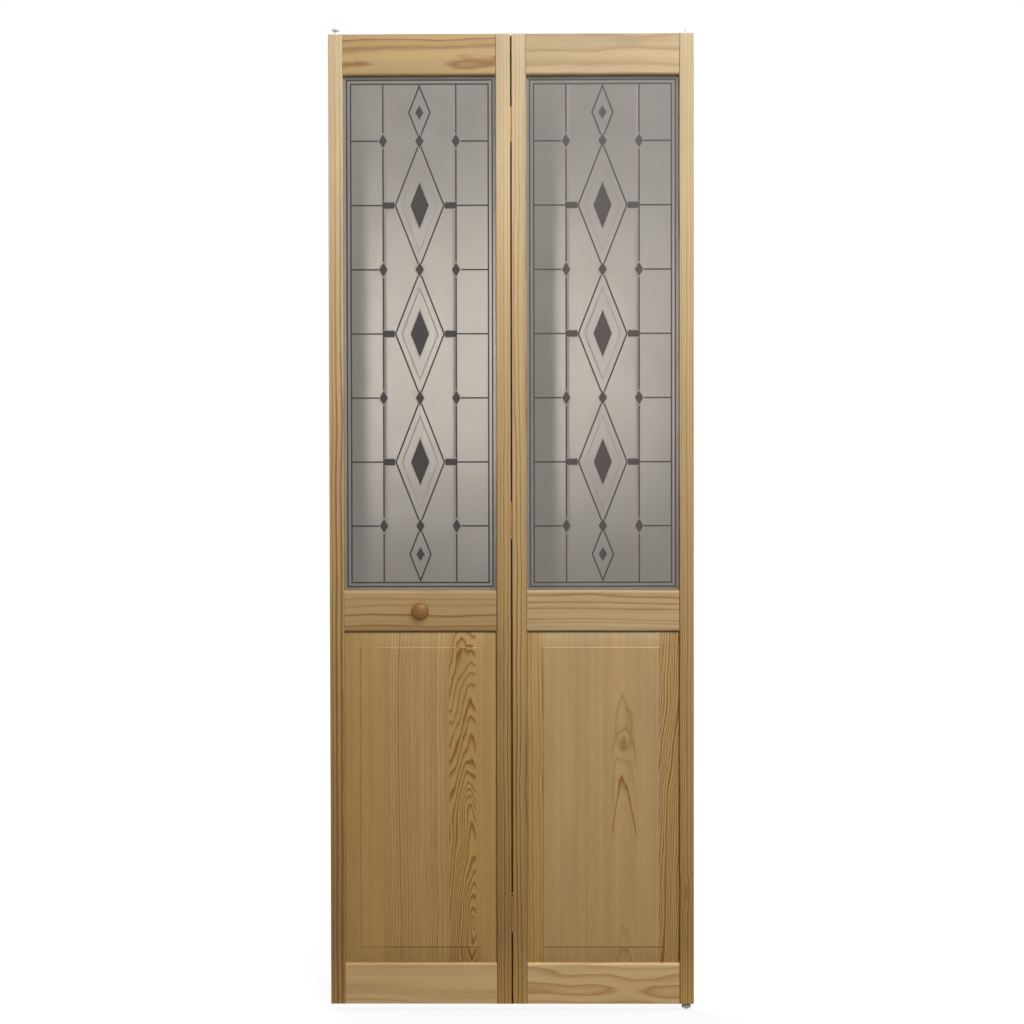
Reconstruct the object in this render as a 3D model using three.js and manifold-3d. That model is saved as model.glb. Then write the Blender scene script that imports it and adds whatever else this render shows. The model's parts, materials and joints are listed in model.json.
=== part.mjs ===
// A folding wardrobe door: two pine leaves, hinged together, each with a frosted glass light over a
// raised wooden panel. The right leaf turns on pivots at the jamb. The left leaf carries the knob and
// follows the track with a guide wheel. Millimetres, +Z up. The origin is the foot of the bottom pivot,
// on the swing axis, and the room side faces -Y.

import * as THREE from 'three';
import { mergeVertices } from 'three/addons/utils/BufferGeometryUtils.js';
import Module from 'manifold-3d';

const wasm = await Module();
wasm.setup();

// Leaves
const leafHeight = 1997;
const leafWidth = 373.5;
const leafThickness = 28.5;
const leafGap = 3;
const leafArris = 1.2;

// Frame of a leaf
const stileWidth = 30;
const stileEase = 2.5;
const topRailHeight = 85;
const lockRailHeight = 86.5;
const lockRailRise = 769.5;
const bottomRailHeight = 85;
const railRound = 6;

// Dowels, two at each end of a rail and glued into it
const dowelRadius = 4.8;
const dowelReach = 12;
const dowelSpacing = 25;
const lockDowelSpacing = 38;
const dowelMargin = 4;

// Raised panel, the same on both faces. Its body fills the opening and its tongue lies in the grooves.
const panelThickness = 23.5;
const panelMargin = 30.5;
const panelMarginFall = 0.7;
const panelStep = 2;
const panelStepRun = 2.4;
const panelFieldRound = 0.6;
const tongueThickness = 6.5;
const tongueReach = 8;
const panelSlack = 2;

// Glass and its stops
const glassThickness = 3.2;
const glassLip = 11;
const glassEdgeSlack = 1.5;
const glassArris = 0.5;
const rabbetWidth = 8;
const stopInset = 1;
const stopShoulder = 2.5;
const stopNose = 4;

// Hinges
const hingeHeight = 76;
const hingeEndDistance = 184;
const hingePlateSetback = 4.5;
const hingePinStand = 4;
const hingePinRadius = 1.8;
const hingePinHead = 1.6;
const knuckleRadius = 3.6;
const hingeInnerHeight = 44;
const hingeSpineWidth = 7.5;
const hingeCornerRound = 3;

// Wood screws of the hinges
const screwRadius = 1.9;
const screwLength = 19;
const screwHeadRadius = 3.5;
const screwHeadDepth = 1.7;
const screwTipLength = 4;
const screwSink = 0.2;
const innerScrewSpacing = 22;

// Knob and its screw
const knobRadius = 18.5;
const knobLength = 29;
const knobFootRadius = 10.5;
const knobNeckRadius = 7.5;
const knobScrewRadius = 2.1;
const knobScrewBite = 16;
const knobScrewHeadRadius = 4.2;
const knobScrewHeadHeight = 2.6;

// Sleeves of the pivots and of the guide, pressed into the stiles
const pivotInset = 15;
const sleeveRadius = 6;
const sleeveFlangeRadius = 8.5;
const sleeveFlange = 1.7;
const sleeveWall = 1.5;
const sleeveFloor = 2;
const sleeveLip = 2.2;

// Bottom pivot
const bottomPinRadius = 3.9;
const bottomPinFoot = 4;
const bottomPinFootRound = 1;
const bottomPinReach = 26;
const starWheelHeight = 7.7;
const starWheelRadius = 9.5;
const starToothDepth = 1.8;
const starTeeth = 12;

// Top pivot and guide
const plungerRadius = 3.1;
const collarRadius = 4.2;
const collarHeight = 5;
const pivotTravel = 9;
const pivotTipRound = 1.5;
const guideTravel = 6;
const travelMargin = 0.5;
const guideAxleRadius = 2.2;
const guideWheelRadius = 8;
const guideWheelHeight = 5.5;
const guideWheelRound = 1.2;
const guideHeadRadius = 4.2;
const guideHeadHeight = 1.2;

// Springs under the two plungers
const springLength = 18;
const springWireRadius = 0.45;
const springTurns = 7;
const springStepsPerTurn = 8;
const springSides = 6;

// Fits
const seat = 0.3;
const overrun = 5;
const boreEnd = 1;

// Roundness
const roundSegments = 24;
const smallSegments = 12;
const cornerSegments = 4;

// Heights above the floor and places along the door
const leafBottom = bottomPinFoot + starWheelHeight + seat + sleeveFlange + seat;
const openingWidth = leafWidth - stileWidth - stileWidth;
const lockRailTop = lockRailRise + lockRailHeight;
const topRailRise = leafHeight - topRailHeight;
const hingeX = pivotInset - leafWidth - leafGap / 2;
const backFace = leafThickness / 2;
const frontFace = -backFace;
const hingeY = backFace + hingePinStand;
const hingeRises = [hingeEndDistance, leafHeight / 2, leafHeight - hingeEndDistance];
const sleeveDepth = sleeveFloor + seat + springLength + seat + collarHeight + seat + sleeveLip;
const sleeveBoreDepth = sleeveDepth + boreEnd;
const endDowelNear = sleeveBoreDepth + dowelRadius + dowelMargin;

// Grooves and rabbets
const grooveWidth = tongueThickness + seat + seat;
const grooveDepth = tongueReach + panelSlack;
const lipBack = frontFace + glassLip;
const glassFront = lipBack + seat;
const glassBack = glassFront + glassThickness;

// Finishes
const pine = { color: 0xc79f68, roughness: 0.5, metalness: 0 };
const frostedGlass = { color: 0xa9a69d, roughness: 0.45, metalness: 0 };
const goldBrass = { color: 0xb08a4f, roughness: 0.35, metalness: 1 };
const zincSteel = { color: 0xc6c7c8, roughness: 0.3, metalness: 1 };
const whiteNylon = { color: 0xf0efea, roughness: 0.45, metalness: 0 };

// Boolean work

function toSolid(geometry) {
  const plain = geometry.clone();
  plain.deleteAttribute('normal');
  plain.deleteAttribute('uv');
  const merged = mergeVertices(plain);
  const corners = merged.index.array;
  const triVerts = [];
  for (let i = 0; i < corners.length; i += 3) {
    const [a, b, c] = [corners[i], corners[i + 1], corners[i + 2]];
    if (a !== b && b !== c && c !== a) triVerts.push(a, b, c);
  }
  return new wasm.Manifold(new wasm.Mesh({
    numProp: 3,
    vertProperties: new Float32Array(merged.attributes.position.array),
    triVerts: new Uint32Array(triVerts),
  }));
}

function toGeometry(solid) {
  const mesh = solid.getMesh();
  const geometry = new THREE.BufferGeometry();
  geometry.setAttribute('position', new THREE.BufferAttribute(new Float32Array(mesh.vertProperties), 3));
  geometry.setIndex(new THREE.BufferAttribute(new Uint32Array(mesh.triVerts), 1));
  return geometry;
}

function cut(geometry, tools) {
  return toGeometry(tools.reduce((solid, tool) => solid.subtract(toSolid(tool)), toSolid(geometry)));
}

function join(geometries) {
  return toGeometry(geometries.map(toSolid).reduce((solid, other) => solid.add(other)));
}

// Basic shapes

// A box between two corners.
function block(low, high) {
  const size = high.map((value, i) => value - low[i]);
  const middle = high.map((value, i) => (value + low[i]) / 2);
  return new THREE.BoxGeometry(...size).translate(...middle);
}

// A round bar between two points.
function rod(from, to, radius, segments = smallSegments) {
  const start = new THREE.Vector3(...from);
  const end = new THREE.Vector3(...to);
  const along = end.clone().sub(start);
  const turn = new THREE.Quaternion().setFromUnitVectors(
    new THREE.Vector3(0, 1, 0),
    along.clone().normalize(),
  );
  const middle = start.add(end).divideScalar(2);
  return new THREE.CylinderGeometry(radius, radius, along.length(), segments)
    .applyQuaternion(turn)
    .translate(middle.x, middle.y, middle.z);
}

// Points of an outline whose corners, given as [x, y, radius], are rounded where they have a radius.
function roundedOutline(corners) {
  const points = [];
  corners.forEach(([x, y, radius], i) => {
    const corner = new THREE.Vector2(x, y);
    if (!radius) {
      points.push(corner);
      return;
    }
    const before = corners.at(i - 1);
    const after = corners[(i + 1) % corners.length];
    const toBefore = new THREE.Vector2(before[0], before[1]).sub(corner).normalize();
    const toAfter = new THREE.Vector2(after[0], after[1]).sub(corner).normalize();
    const halfAngle = Math.acos(toBefore.dot(toAfter)) / 2;
    const bisector = toBefore.clone().add(toAfter).normalize();
    const centre = corner.clone().addScaledVector(bisector, radius / Math.sin(halfAngle));
    const start = corner.clone().addScaledVector(toBefore, radius / Math.tan(halfAngle)).sub(centre);
    const end = corner.clone().addScaledVector(toAfter, radius / Math.tan(halfAngle)).sub(centre);
    const sweep = Math.atan2(start.cross(end), start.dot(end));
    for (let step = 0; step <= cornerSegments; step += 1) {
      const spoke = start.clone().rotateAround(new THREE.Vector2(), sweep * step / cornerSegments);
      points.push(spoke.add(centre));
    }
  });
  return points;
}

// An outline drawn in the plane of the axes u and v, pushed along the third axis by its full length,
// half of it to each side.
function prism(points, length, u, v) {
  const uAxis = new THREE.Vector3(...u);
  const vAxis = new THREE.Vector3(...v);
  const along = uAxis.clone().cross(vAxis);
  return new THREE.ExtrudeGeometry(new THREE.Shape(points), { depth: length, bevelEnabled: false })
    .translate(0, 0, -length / 2)
    .applyMatrix4(new THREE.Matrix4().makeBasis(uAxis, vAxis, along));
}

// A turned piece: its outline is a list of [radius, height] from the foot to the top, on the axis at
// both ends, and the axis then points along the given direction from the given place.
function turned(outline, place, direction, segments = roundSegments) {
  const points = outline.map(([radius, height]) => new THREE.Vector2(radius, height));
  const turn = new THREE.Quaternion().setFromUnitVectors(
    new THREE.Vector3(0, 1, 0),
    new THREE.Vector3(...direction),
  );
  return new THREE.LatheGeometry(points, segments).applyQuaternion(turn).translate(...place);
}

// A slab whose section changes from the front to the back: each ring is [inset, y] of a rectangle.
function ringSlab(width, height, rings) {
  const positions = [];
  const triangles = [];
  rings.forEach(([inset, y]) => {
    const x = width / 2 - inset;
    const z = height / 2 - inset;
    positions.push(-x, y, -z, x, y, -z, x, y, z, -x, y, z);
  });
  triangles.push(0, 1, 2, 0, 2, 3);
  for (let ring = 0; ring < rings.length - 1; ring += 1) {
    const near = ring * 4;
    const far = near + 4;
    for (let side = 0; side < 4; side += 1) {
      const next = (side + 1) % 4;
      triangles.push(near + side, far + side, far + next, near + side, far + next, near + next);
    }
  }
  const last = (rings.length - 1) * 4;
  triangles.push(last, last + 2, last + 1, last, last + 3, last + 2);
  const geometry = new THREE.BufferGeometry();
  geometry.setAttribute('position', new THREE.Float32BufferAttribute(positions, 3));
  geometry.setIndex(triangles);
  return geometry;
}

const door = new THREE.Group();

function addPiece(parent, name, geometry, finish) {
  const flat = geometry.index ? geometry.toNonIndexed() : geometry;
  flat.computeVertexNormals();
  const mesh = new THREE.Mesh(flat, new THREE.MeshStandardMaterial(finish));
  mesh.name = name;
  parent.add(mesh);
  return mesh;
}

// Rails. A leaf is made about its own middle, from its foot at zero height.

const plainEdge = (rise) => [
  [frontFace, rise, leafArris],
  [backFace, rise, leafArris],
];

// The edge that holds the panel, rounded on both faces. Into is +1 where the wood lies above it.
const groovedEdge = (rise, into) => [
  [frontFace, rise, railRound],
  [-grooveWidth / 2, rise, 0],
  [-grooveWidth / 2, rise + into * grooveDepth, 0],
  [grooveWidth / 2, rise + into * grooveDepth, 0],
  [grooveWidth / 2, rise, 0],
  [backFace, rise, railRound],
];

// The edge that holds the glass, rabbeted from the back.
const rabbetedEdge = (rise, into) => [
  [frontFace, rise, railRound],
  [lipBack, rise, 0],
  [lipBack, rise + into * rabbetWidth, 0],
  [backFace, rise + into * rabbetWidth, leafArris],
];

// The heights of each rail's dowels, and the outline of its section from front to back.
const rails = {
  top_rail: {
    dowels: [leafHeight - endDowelNear, leafHeight - endDowelNear - dowelSpacing],
    upper: plainEdge(leafHeight),
    lower: rabbetedEdge(topRailRise, 1),
  },
  lock_rail: {
    dowels: [
      lockRailRise + (lockRailHeight + lockDowelSpacing) / 2,
      lockRailRise + (lockRailHeight - lockDowelSpacing) / 2,
    ],
    upper: rabbetedEdge(lockRailTop, -1),
    lower: groovedEdge(lockRailRise, 1),
  },
  bottom_rail: {
    dowels: [endDowelNear, endDowelNear + dowelSpacing],
    upper: groovedEdge(bottomRailHeight, -1),
    lower: plainEdge(0),
  },
};
const dowelRises = Object.values(rails).flatMap((rail) => rail.dowels);

function makeRail(rail) {
  const outline = roundedOutline([...rail.upper, ...rail.lower.toReversed()]);
  const bar = prism(outline, openingWidth - seat - seat, [0, 1, 0], [0, 0, 1]);
  const dowelEnd = openingWidth / 2 + dowelReach;
  const dowels = rail.dowels.map((rise) => rod([-dowelEnd, 0, rise], [dowelEnd, 0, rise], dowelRadius));
  return join([bar, ...dowels]);
}

// Stiles. Side is +1 for the stile on the +X side of its leaf.

function makeStile(side, isHingeStile, sleeveEnds) {
  const inner = side * openingWidth / 2;
  const outer = side * leafWidth / 2;
  const section = roundedOutline([
    [inner, frontFace, stileEase],
    [inner, backFace, stileEase],
    [outer, backFace, leafArris],
    [outer, frontFace, leafArris],
  ]);
  const bar = prism(section, leafHeight, [1, 0, 0], [0, 1, 0]).translate(0, 0, leafHeight / 2);
  const tools = [sidewaysCut(inner, side * -overrun, side * grooveDepth, {
    y: [-grooveWidth / 2, grooveWidth / 2],
    z: [bottomRailHeight - grooveDepth, lockRailRise + grooveDepth],
  })];
  tools.push(sidewaysCut(inner, side * -overrun, side * rabbetWidth, {
    y: [lipBack, backFace + overrun],
    z: [lockRailTop - rabbetWidth, topRailRise + rabbetWidth],
  }));
  dowelRises.forEach((rise) => {
    const from = [inner - side * overrun, 0, rise];
    const to = [inner + side * (dowelReach + boreEnd), 0, rise];
    tools.push(rod(from, to, dowelRadius + seat));
  });
  sleeveEnds.forEach(([end, inwards]) => {
    const x = side * (leafWidth / 2 - pivotInset);
    const from = [x, 0, end - inwards * overrun];
    const to = [x, 0, end + inwards * sleeveBoreDepth];
    tools.push(rod(from, to, sleeveRadius + seat, roundSegments));
  });
  if (isHingeStile) {
    hingeScrewPlaces(side).forEach(([y, rise]) => {
      const from = [outer + side * overrun, y, rise];
      const to = [outer - side * (screwLength + boreEnd), y, rise];
      tools.push(rod(from, to, screwRadius + seat, smallSegments));
    });
  }
  return cut(bar, tools);
}

// A box-shaped cut from one place to another along X.
function sidewaysCut(x, from, to, { y, z }) {
  const ends = [x + from, x + to].sort((a, b) => a - b);
  return block([ends[0], y[0], z[0]], [ends[1], y[1], z[1]]);
}

// The y and height of each hinge screw in a leaf. The pivot leaf, whose hinge stile is on its -X side,
// takes the screws in the arms of the outer plates, and the lead leaf those of the inner plates.
const armMiddle = (hingeHeight + hingeInnerHeight) / 4;
const platePlaneFront = frontFace + hingePlateSetback;
const innerPlateFront = platePlaneFront + hingeSpineWidth + seat;
const screwY = (innerPlateFront + backFace) / 2;

function hingeScrewPlaces(side) {
  const reach = side < 0 ? armMiddle : innerScrewSpacing / 2;
  return hingeRises.flatMap((rise) => [[screwY, rise + reach], [screwY, rise - reach]]);
}

// Raised panel

function makePanel() {
  const width = openingWidth + tongueReach + tongueReach;
  const height = lockRailRise - bottomRailHeight + tongueReach + tongueReach;
  const tongue = tongueThickness / 2;
  const field = panelThickness / 2;
  const margin = field - panelStep;
  const shoulder = tongueReach + seat;
  const stepFoot = tongueReach + panelMargin;
  const half = [
    [stepFoot + panelStepRun + panelFieldRound, -field],
    [stepFoot + panelStepRun, panelFieldRound - field],
    [stepFoot, -margin],
    [shoulder, panelMarginFall - margin],
    [shoulder, -tongue],
    [0, -tongue],
  ];
  const mirrored = half.toReversed().map(([inset, y]) => [inset, -y]);
  return ringSlab(width, height, [...half, ...mirrored])
    .translate(0, 0, (lockRailRise + bottomRailHeight) / 2);
}

// Glass and stops

const lightHeight = topRailRise - lockRailTop;
const lightMiddle = (topRailRise + lockRailTop) / 2;
const rabbetReach = rabbetWidth - seat;

function makeGlass() {
  const reach = rabbetWidth - glassEdgeSlack;
  return ringSlab(openingWidth + reach + reach, lightHeight + reach + reach, [
    [glassArris, glassFront],
    [0, glassFront + glassArris],
    [0, glassBack - glassArris],
    [glassArris, glassBack],
  ]).translate(0, 0, lightMiddle);
}

// A stop lies against the rabbet's wall. Its outline is drawn inwards from that wall and backwards
// from the glass, and its ends are mitred.
function makeStop(inwards, length) {
  const front = glassBack + seat;
  const back = backFace - stopInset;
  const outline = [
    [0, front],
    [rabbetReach, front],
    [rabbetReach, front + stopNose],
    [stopShoulder, back],
    [0, back],
  ].map(([u, y]) => new THREE.Vector2(u, y));
  const stop = new THREE.ExtrudeGeometry(new THREE.Shape(outline), { depth: length, bevelEnabled: false })
    .translate(0, 0, -length / 2);
  const place = stop.attributes.position;
  for (let i = 0; i < place.count; i += 1) {
    const end = length / 2 - seat - place.getX(i);
    place.setZ(i, Math.sign(place.getZ(i)) * end);
  }
  const inwardAxis = new THREE.Vector3(...inwards);
  const backAxis = new THREE.Vector3(0, 1, 0);
  const lengthAxis = inwardAxis.clone().cross(backAxis);
  return stop.applyMatrix4(new THREE.Matrix4().makeBasis(inwardAxis, backAxis, lengthAxis));
}

function addStops(parent, leafName, outerSide) {
  const width = openingWidth + rabbetReach + rabbetReach;
  const height = lightHeight + rabbetReach + rabbetReach;
  const top = makeStop([0, 0, -1], width).translate(0, 0, lightMiddle + height / 2);
  const bottom = makeStop([0, 0, 1], width).translate(0, 0, lightMiddle - height / 2);
  const outer = makeStop([-outerSide, 0, 0], height).translate(outerSide * width / 2, 0, lightMiddle);
  const hinge = makeStop([outerSide, 0, 0], height).translate(-outerSide * width / 2, 0, lightMiddle);
  addPiece(parent, `${leafName}_stop_top`, top, pine);
  addPiece(parent, `${leafName}_stop_bottom`, bottom, pine);
  addPiece(parent, `${leafName}_stop_outer`, outer, pine);
  addPiece(parent, `${leafName}_stop_hinge`, hinge, pine);
}

// Knob on the lead leaf. Its axis runs out of the front face, from its foot.

const knobRise = lockRailRise + lockRailHeight / 2;
const knobBoreRadius = knobScrewRadius + seat;

function makeKnob() {
  const neckHeightShare = 0.34;
  const widestHeightShare = 0.66;
  const footHeightShare = 0.1;
  const neck = knobLength * neckHeightShare;
  const widest = knobLength * widestHeightShare;
  const foot = knobLength * footHeightShare;
  const dome = knobLength - widest;
  const outline = [[0, knobScrewBite + boreEnd], [knobBoreRadius, knobScrewBite + boreEnd]];
  outline.push([knobBoreRadius, 0], [knobFootRadius, 0], [knobFootRadius, foot]);
  const coveSteps = 6;
  for (let step = 1; step <= coveSteps; step += 1) {
    const angle = step / coveSteps * Math.PI / 2;
    const radius = knobFootRadius - (knobFootRadius - knobNeckRadius) * Math.sin(angle);
    outline.push([radius, neck - (neck - foot) * Math.cos(angle)]);
  }
  const bellySteps = 6;
  for (let step = 1; step <= bellySteps; step += 1) {
    const angle = step / bellySteps * Math.PI / 2;
    const radius = knobNeckRadius + (knobRadius - knobNeckRadius) * Math.sin(angle);
    outline.push([radius, widest - (widest - neck) * Math.cos(angle)]);
  }
  const domeSteps = 8;
  for (let step = 1; step < domeSteps; step += 1) {
    const angle = step / domeSteps * Math.PI / 2;
    outline.push([knobRadius * Math.cos(angle), widest + dome * Math.sin(angle)]);
  }
  outline.push([0, knobLength]);
  return turned(outline, [0, frontFace - seat, knobRise], [0, -1, 0]);
}

// The knob's screw comes from the back of the lock rail, where its round head shows.
function makeKnobScrew() {
  const headBase = backFace + seat;
  const length = headBase - frontFace + seat + knobScrewBite;
  const crownShare = 0.6;
  const outline = [
    [0, 0],
    [knobScrewRadius, knobScrewRadius],
    [knobScrewRadius, length],
    [knobScrewHeadRadius, length],
    [knobScrewHeadRadius, length + knobScrewHeadHeight * (1 - crownShare)],
    [knobScrewHeadRadius * crownShare, length + knobScrewHeadHeight],
    [0, length + knobScrewHeadHeight],
  ];
  return turned(outline, [0, headBase - length, knobRise], [0, 1, 0], smallSegments);
}

function cutKnobBore(rail) {
  const from = [0, frontFace - overrun, knobRise];
  const to = [0, backFace + overrun, knobRise];
  return cut(rail, [rod(from, to, knobScrewRadius + seat)]);
}

// Leaves. The outer side is +1 on the pivot leaf and -1 on the lead leaf.

function addLeaf(name, outerSide, sleeveEnds, hasKnob) {
  const leaf = new THREE.Group();
  leaf.position.set(hingeX - outerSide * -(leafGap + leafWidth) / 2, 0, leafBottom);
  door.add(leaf);
  addPiece(leaf, `${name}_outer_stile`, makeStile(outerSide, false, sleeveEnds), pine);
  addPiece(leaf, `${name}_hinge_stile`, makeStile(-outerSide, true, []), pine);
  Object.entries(rails).forEach(([railName, rail]) => {
    const drilled = hasKnob && railName === 'lock_rail';
    const bar = makeRail(rail);
    addPiece(leaf, `${name}_${railName}`, drilled ? cutKnobBore(bar) : bar, pine);
  });
  addPiece(leaf, `${name}_panel`, makePanel(), pine);
  addPiece(leaf, `${name}_glass`, makeGlass(), frostedGlass);
  addStops(leaf, name, outerSide);
  return leaf;
}

const leafTopEnd = [leafHeight, -1];
const leafFootEnd = [0, 1];
addLeaf('pivot', 1, [leafFootEnd, leafTopEnd], false);
const leadLeaf = addLeaf('lead', -1, [leafTopEnd], true);
addPiece(leadLeaf, 'knob', makeKnob(), pine);
addPiece(leadLeaf, 'knob_screw', makeKnobScrew(), zincSteel);

// Hinges. The inner plate nests in the cut-out of the outer plate, so that the two together are as
// thick as one, and the knuckles share a pin behind the leaves. A hinge is made about its own pin.

const plateThickness = leafGap - seat - seat;
const plateFront = platePlaneFront - hingeY;
const innerFront = innerPlateFront - hingeY;
const barrelGap = seat;

function knuckle(low, high) {
  return rod([0, 0, low], [0, 0, high], knuckleRadius, roundSegments);
}

const pinBore = () => {
  const end = hingeHeight / 2 + overrun;
  return rod([0, 0, -end], [0, 0, end], hingePinRadius + seat);
};

// The countersunk hole of a screw whose head lies on the given side of the plate.
function screwHole(y, z, headSide) {
  const face = headSide * plateThickness / 2;
  const outline = [
    [0, -overrun],
    [screwRadius + seat, -overrun],
    [screwRadius + seat, plateThickness - screwHeadDepth - screwSink],
    [screwHeadRadius + seat, plateThickness - screwSink],
    [screwHeadRadius + seat, plateThickness + overrun],
    [0, plateThickness + overrun],
  ];
  return turned(outline, [face - headSide * plateThickness, y, z], [headSide, 0, 0], smallSegments);
}

function makeOuterPlate() {
  const end = hingeHeight / 2;
  const cutOut = hingeInnerHeight / 2 + seat;
  const outline = roundedOutline([
    [0, -end, 0],
    [0, -cutOut, 0],
    [innerFront - seat, -cutOut, 0],
    [innerFront - seat, cutOut, 0],
    [0, cutOut, 0],
    [0, end, 0],
    [plateFront, end, hingeCornerRound],
    [plateFront, -end, hingeCornerRound],
  ]);
  const plate = prism(outline, plateThickness, [0, 1, 0], [0, 0, 1]);
  const body = join([plate, knuckle(cutOut, end), knuckle(-end, -cutOut)]);
  const y = screwY - hingeY;
  return cut(body, [pinBore(), screwHole(y, armMiddle, -1), screwHole(y, -armMiddle, -1)]);
}

function makeInnerPlate() {
  const end = hingeInnerHeight / 2;
  const outline = roundedOutline([
    [0, -end, 0],
    [0, end, 0],
    [innerFront, end, seat],
    [innerFront, -end, seat],
  ]);
  const plate = prism(outline, plateThickness, [0, 1, 0], [0, 0, 1]);
  const y = screwY - hingeY;
  const reach = innerScrewSpacing / 2;
  const holes = [screwHole(y, reach, 1), screwHole(y, -reach, 1)];
  return cut(join([plate, knuckle(-end, end)]), [pinBore(), ...holes]);
}

function makeHingePin() {
  const end = hingeHeight / 2 + barrelGap;
  const buttonShare = 0.55;
  const button = knuckleRadius - seat;
  const outline = [
    [0, -end - hingePinHead],
    [button * buttonShare, -end - hingePinHead],
    [button, -end - hingePinHead * buttonShare],
    [button, -end],
    [hingePinRadius, -end],
    [hingePinRadius, end],
    [button, end],
    [button, end + hingePinHead * buttonShare],
    [button * buttonShare, end + hingePinHead],
    [0, end + hingePinHead],
  ];
  return turned(outline, [0, 0, 0], [0, 0, 1], smallSegments);
}

// A screw whose head is sunk in the plate. Side is the side of the hinge that its leaf is on.
function makeHingeScrew(side, z) {
  const head = screwLength + plateThickness - screwSink;
  const outline = [
    [0, 0],
    [screwRadius, screwTipLength],
    [screwRadius, head - screwHeadDepth],
    [screwHeadRadius, head],
    [0, head],
  ];
  const tip = side * (plateThickness / 2 + screwLength);
  return turned(outline, [tip, screwY - hingeY, z], [-side, 0, 0], smallSegments);
}

const hingeNames = ['bottom_hinge', 'middle_hinge', 'top_hinge'];
hingeRises.forEach((rise, i) => {
  const hinge = new THREE.Group();
  hinge.position.set(hingeX, hingeY, leafBottom + rise);
  door.add(hinge);
  const name = hingeNames[i];
  addPiece(hinge, `${name}_pivot_plate`, makeOuterPlate(), goldBrass);
  addPiece(hinge, `${name}_lead_plate`, makeInnerPlate(), goldBrass);
  addPiece(hinge, `${name}_pin`, makeHingePin(), goldBrass);
  addPiece(hinge, `${name}_pivot_screw_upper`, makeHingeScrew(1, armMiddle), goldBrass);
  addPiece(hinge, `${name}_pivot_screw_lower`, makeHingeScrew(1, -armMiddle), goldBrass);
  addPiece(hinge, `${name}_lead_screw_upper`, makeHingeScrew(-1, innerScrewSpacing / 2), goldBrass);
  addPiece(hinge, `${name}_lead_screw_lower`, makeHingeScrew(-1, -innerScrewSpacing / 2), goldBrass);
});

// Bottom pivot. The leaf turns on the pin, which stands in a bracket by the jamb. The star wheel on
// its thread carries the sleeve's flange and sets the height.

const bottomSleeveBore = bottomPinRadius + seat;
const starWheelTop = bottomPinFoot + starWheelHeight;

function makeBottomPin() {
  const top = leafBottom + bottomPinReach;
  const outline = [
    [0, 0],
    [bottomPinRadius - bottomPinFootRound, 0],
    [bottomPinRadius, bottomPinFootRound],
    [bottomPinRadius, top - bottomPinFootRound],
    [bottomPinRadius - bottomPinFootRound, top],
    [0, top],
  ];
  return turned(outline, [0, 0, 0], [0, 0, 1]);
}

function makeStarWheel() {
  const outline = [];
  const toothShares = [0, 0.25, 0.5, 0.75];
  for (let tooth = 0; tooth < starTeeth; tooth += 1) {
    toothShares.forEach((share, i) => {
      const angle = (tooth + share) / starTeeth * Math.PI * 2;
      const radius = i < toothShares.length / 2 ? starWheelRadius : starWheelRadius - starToothDepth;
      outline.push(new THREE.Vector2(radius * Math.cos(angle), radius * Math.sin(angle)));
    });
  }
  const middle = bottomPinFoot + starWheelHeight / 2;
  const wheel = prism(outline, starWheelHeight, [1, 0, 0], [0, 1, 0]).translate(0, 0, middle);
  const bore = rod([0, 0, 0], [0, 0, starWheelTop + overrun], bottomSleeveBore, roundSegments);
  return cut(wheel, [bore]);
}

function makeBottomSleeve() {
  const flangeLow = starWheelTop + seat;
  const flangeTop = flangeLow + sleeveFlange;
  const top = leafBottom + sleeveDepth;
  const outline = [
    [bottomSleeveBore, flangeLow],
    [sleeveFlangeRadius, flangeLow],
    [sleeveFlangeRadius, flangeTop],
    [sleeveRadius, flangeTop],
    [sleeveRadius, top],
    [0, top],
    [0, top - sleeveFloor],
    [bottomSleeveBore, top - sleeveFloor],
    [bottomSleeveBore, flangeLow],
  ];
  return turned(outline, [0, 0, 0], [0, 0, 1]);
}

addPiece(door, 'bottom_pivot_pin', makeBottomPin(), zincSteel);
addPiece(door, 'bottom_pivot_wheel', makeStarWheel(), whiteNylon);
addPiece(door, 'bottom_pivot_sleeve', makeBottomSleeve(), whiteNylon);

// Top pivot and guide. Each is a plunger in a sleeve, held up by a spring and kept in by the lip, and
// is made about its own axis with its foot at the sleeve's foot.

const flangeSeat = sleeveDepth + seat;
const flangeTopRise = flangeSeat + sleeveFlange;
const cavityTop = sleeveDepth - sleeveLip;
const springFoot = sleeveFloor + seat;
const collarFoot = springFoot + springLength + seat;
const collarTop = collarFoot + collarHeight;
const cavityRadius = sleeveRadius - sleeveWall;

function makeSleeve() {
  const lipHole = plungerRadius + seat;
  return turned([
    [0, 0],
    [sleeveRadius, 0],
    [sleeveRadius, flangeSeat],
    [sleeveFlangeRadius, flangeSeat],
    [sleeveFlangeRadius, flangeTopRise],
    [lipHole, flangeTopRise],
    [lipHole, cavityTop],
    [cavityRadius, cavityTop],
    [cavityRadius, sleeveFloor],
    [0, sleeveFloor],
  ], [0, 0, 0], [0, 0, 1]);
}

class Helix extends THREE.Curve {
  getPoint(share) {
    const angle = share * springTurns * Math.PI * 2;
    const radius = cavityRadius - seat - springWireRadius;
    const rise = springWireRadius + share * (springLength - springWireRadius * 2);
    return new THREE.Vector3(radius * Math.cos(angle), radius * Math.sin(angle), springFoot + rise);
  }
}

function makeSpring() {
  const section = Array.from({ length: springSides }, (_, side) => {
    const angle = side / springSides * Math.PI * 2;
    return new THREE.Vector2(Math.cos(angle), Math.sin(angle)).multiplyScalar(springWireRadius);
  });
  return new THREE.ExtrudeGeometry(new THREE.Shape(section), {
    extrudePath: new Helix(),
    steps: springTurns * springStepsPerTurn,
    bevelEnabled: false,
  });
}

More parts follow.
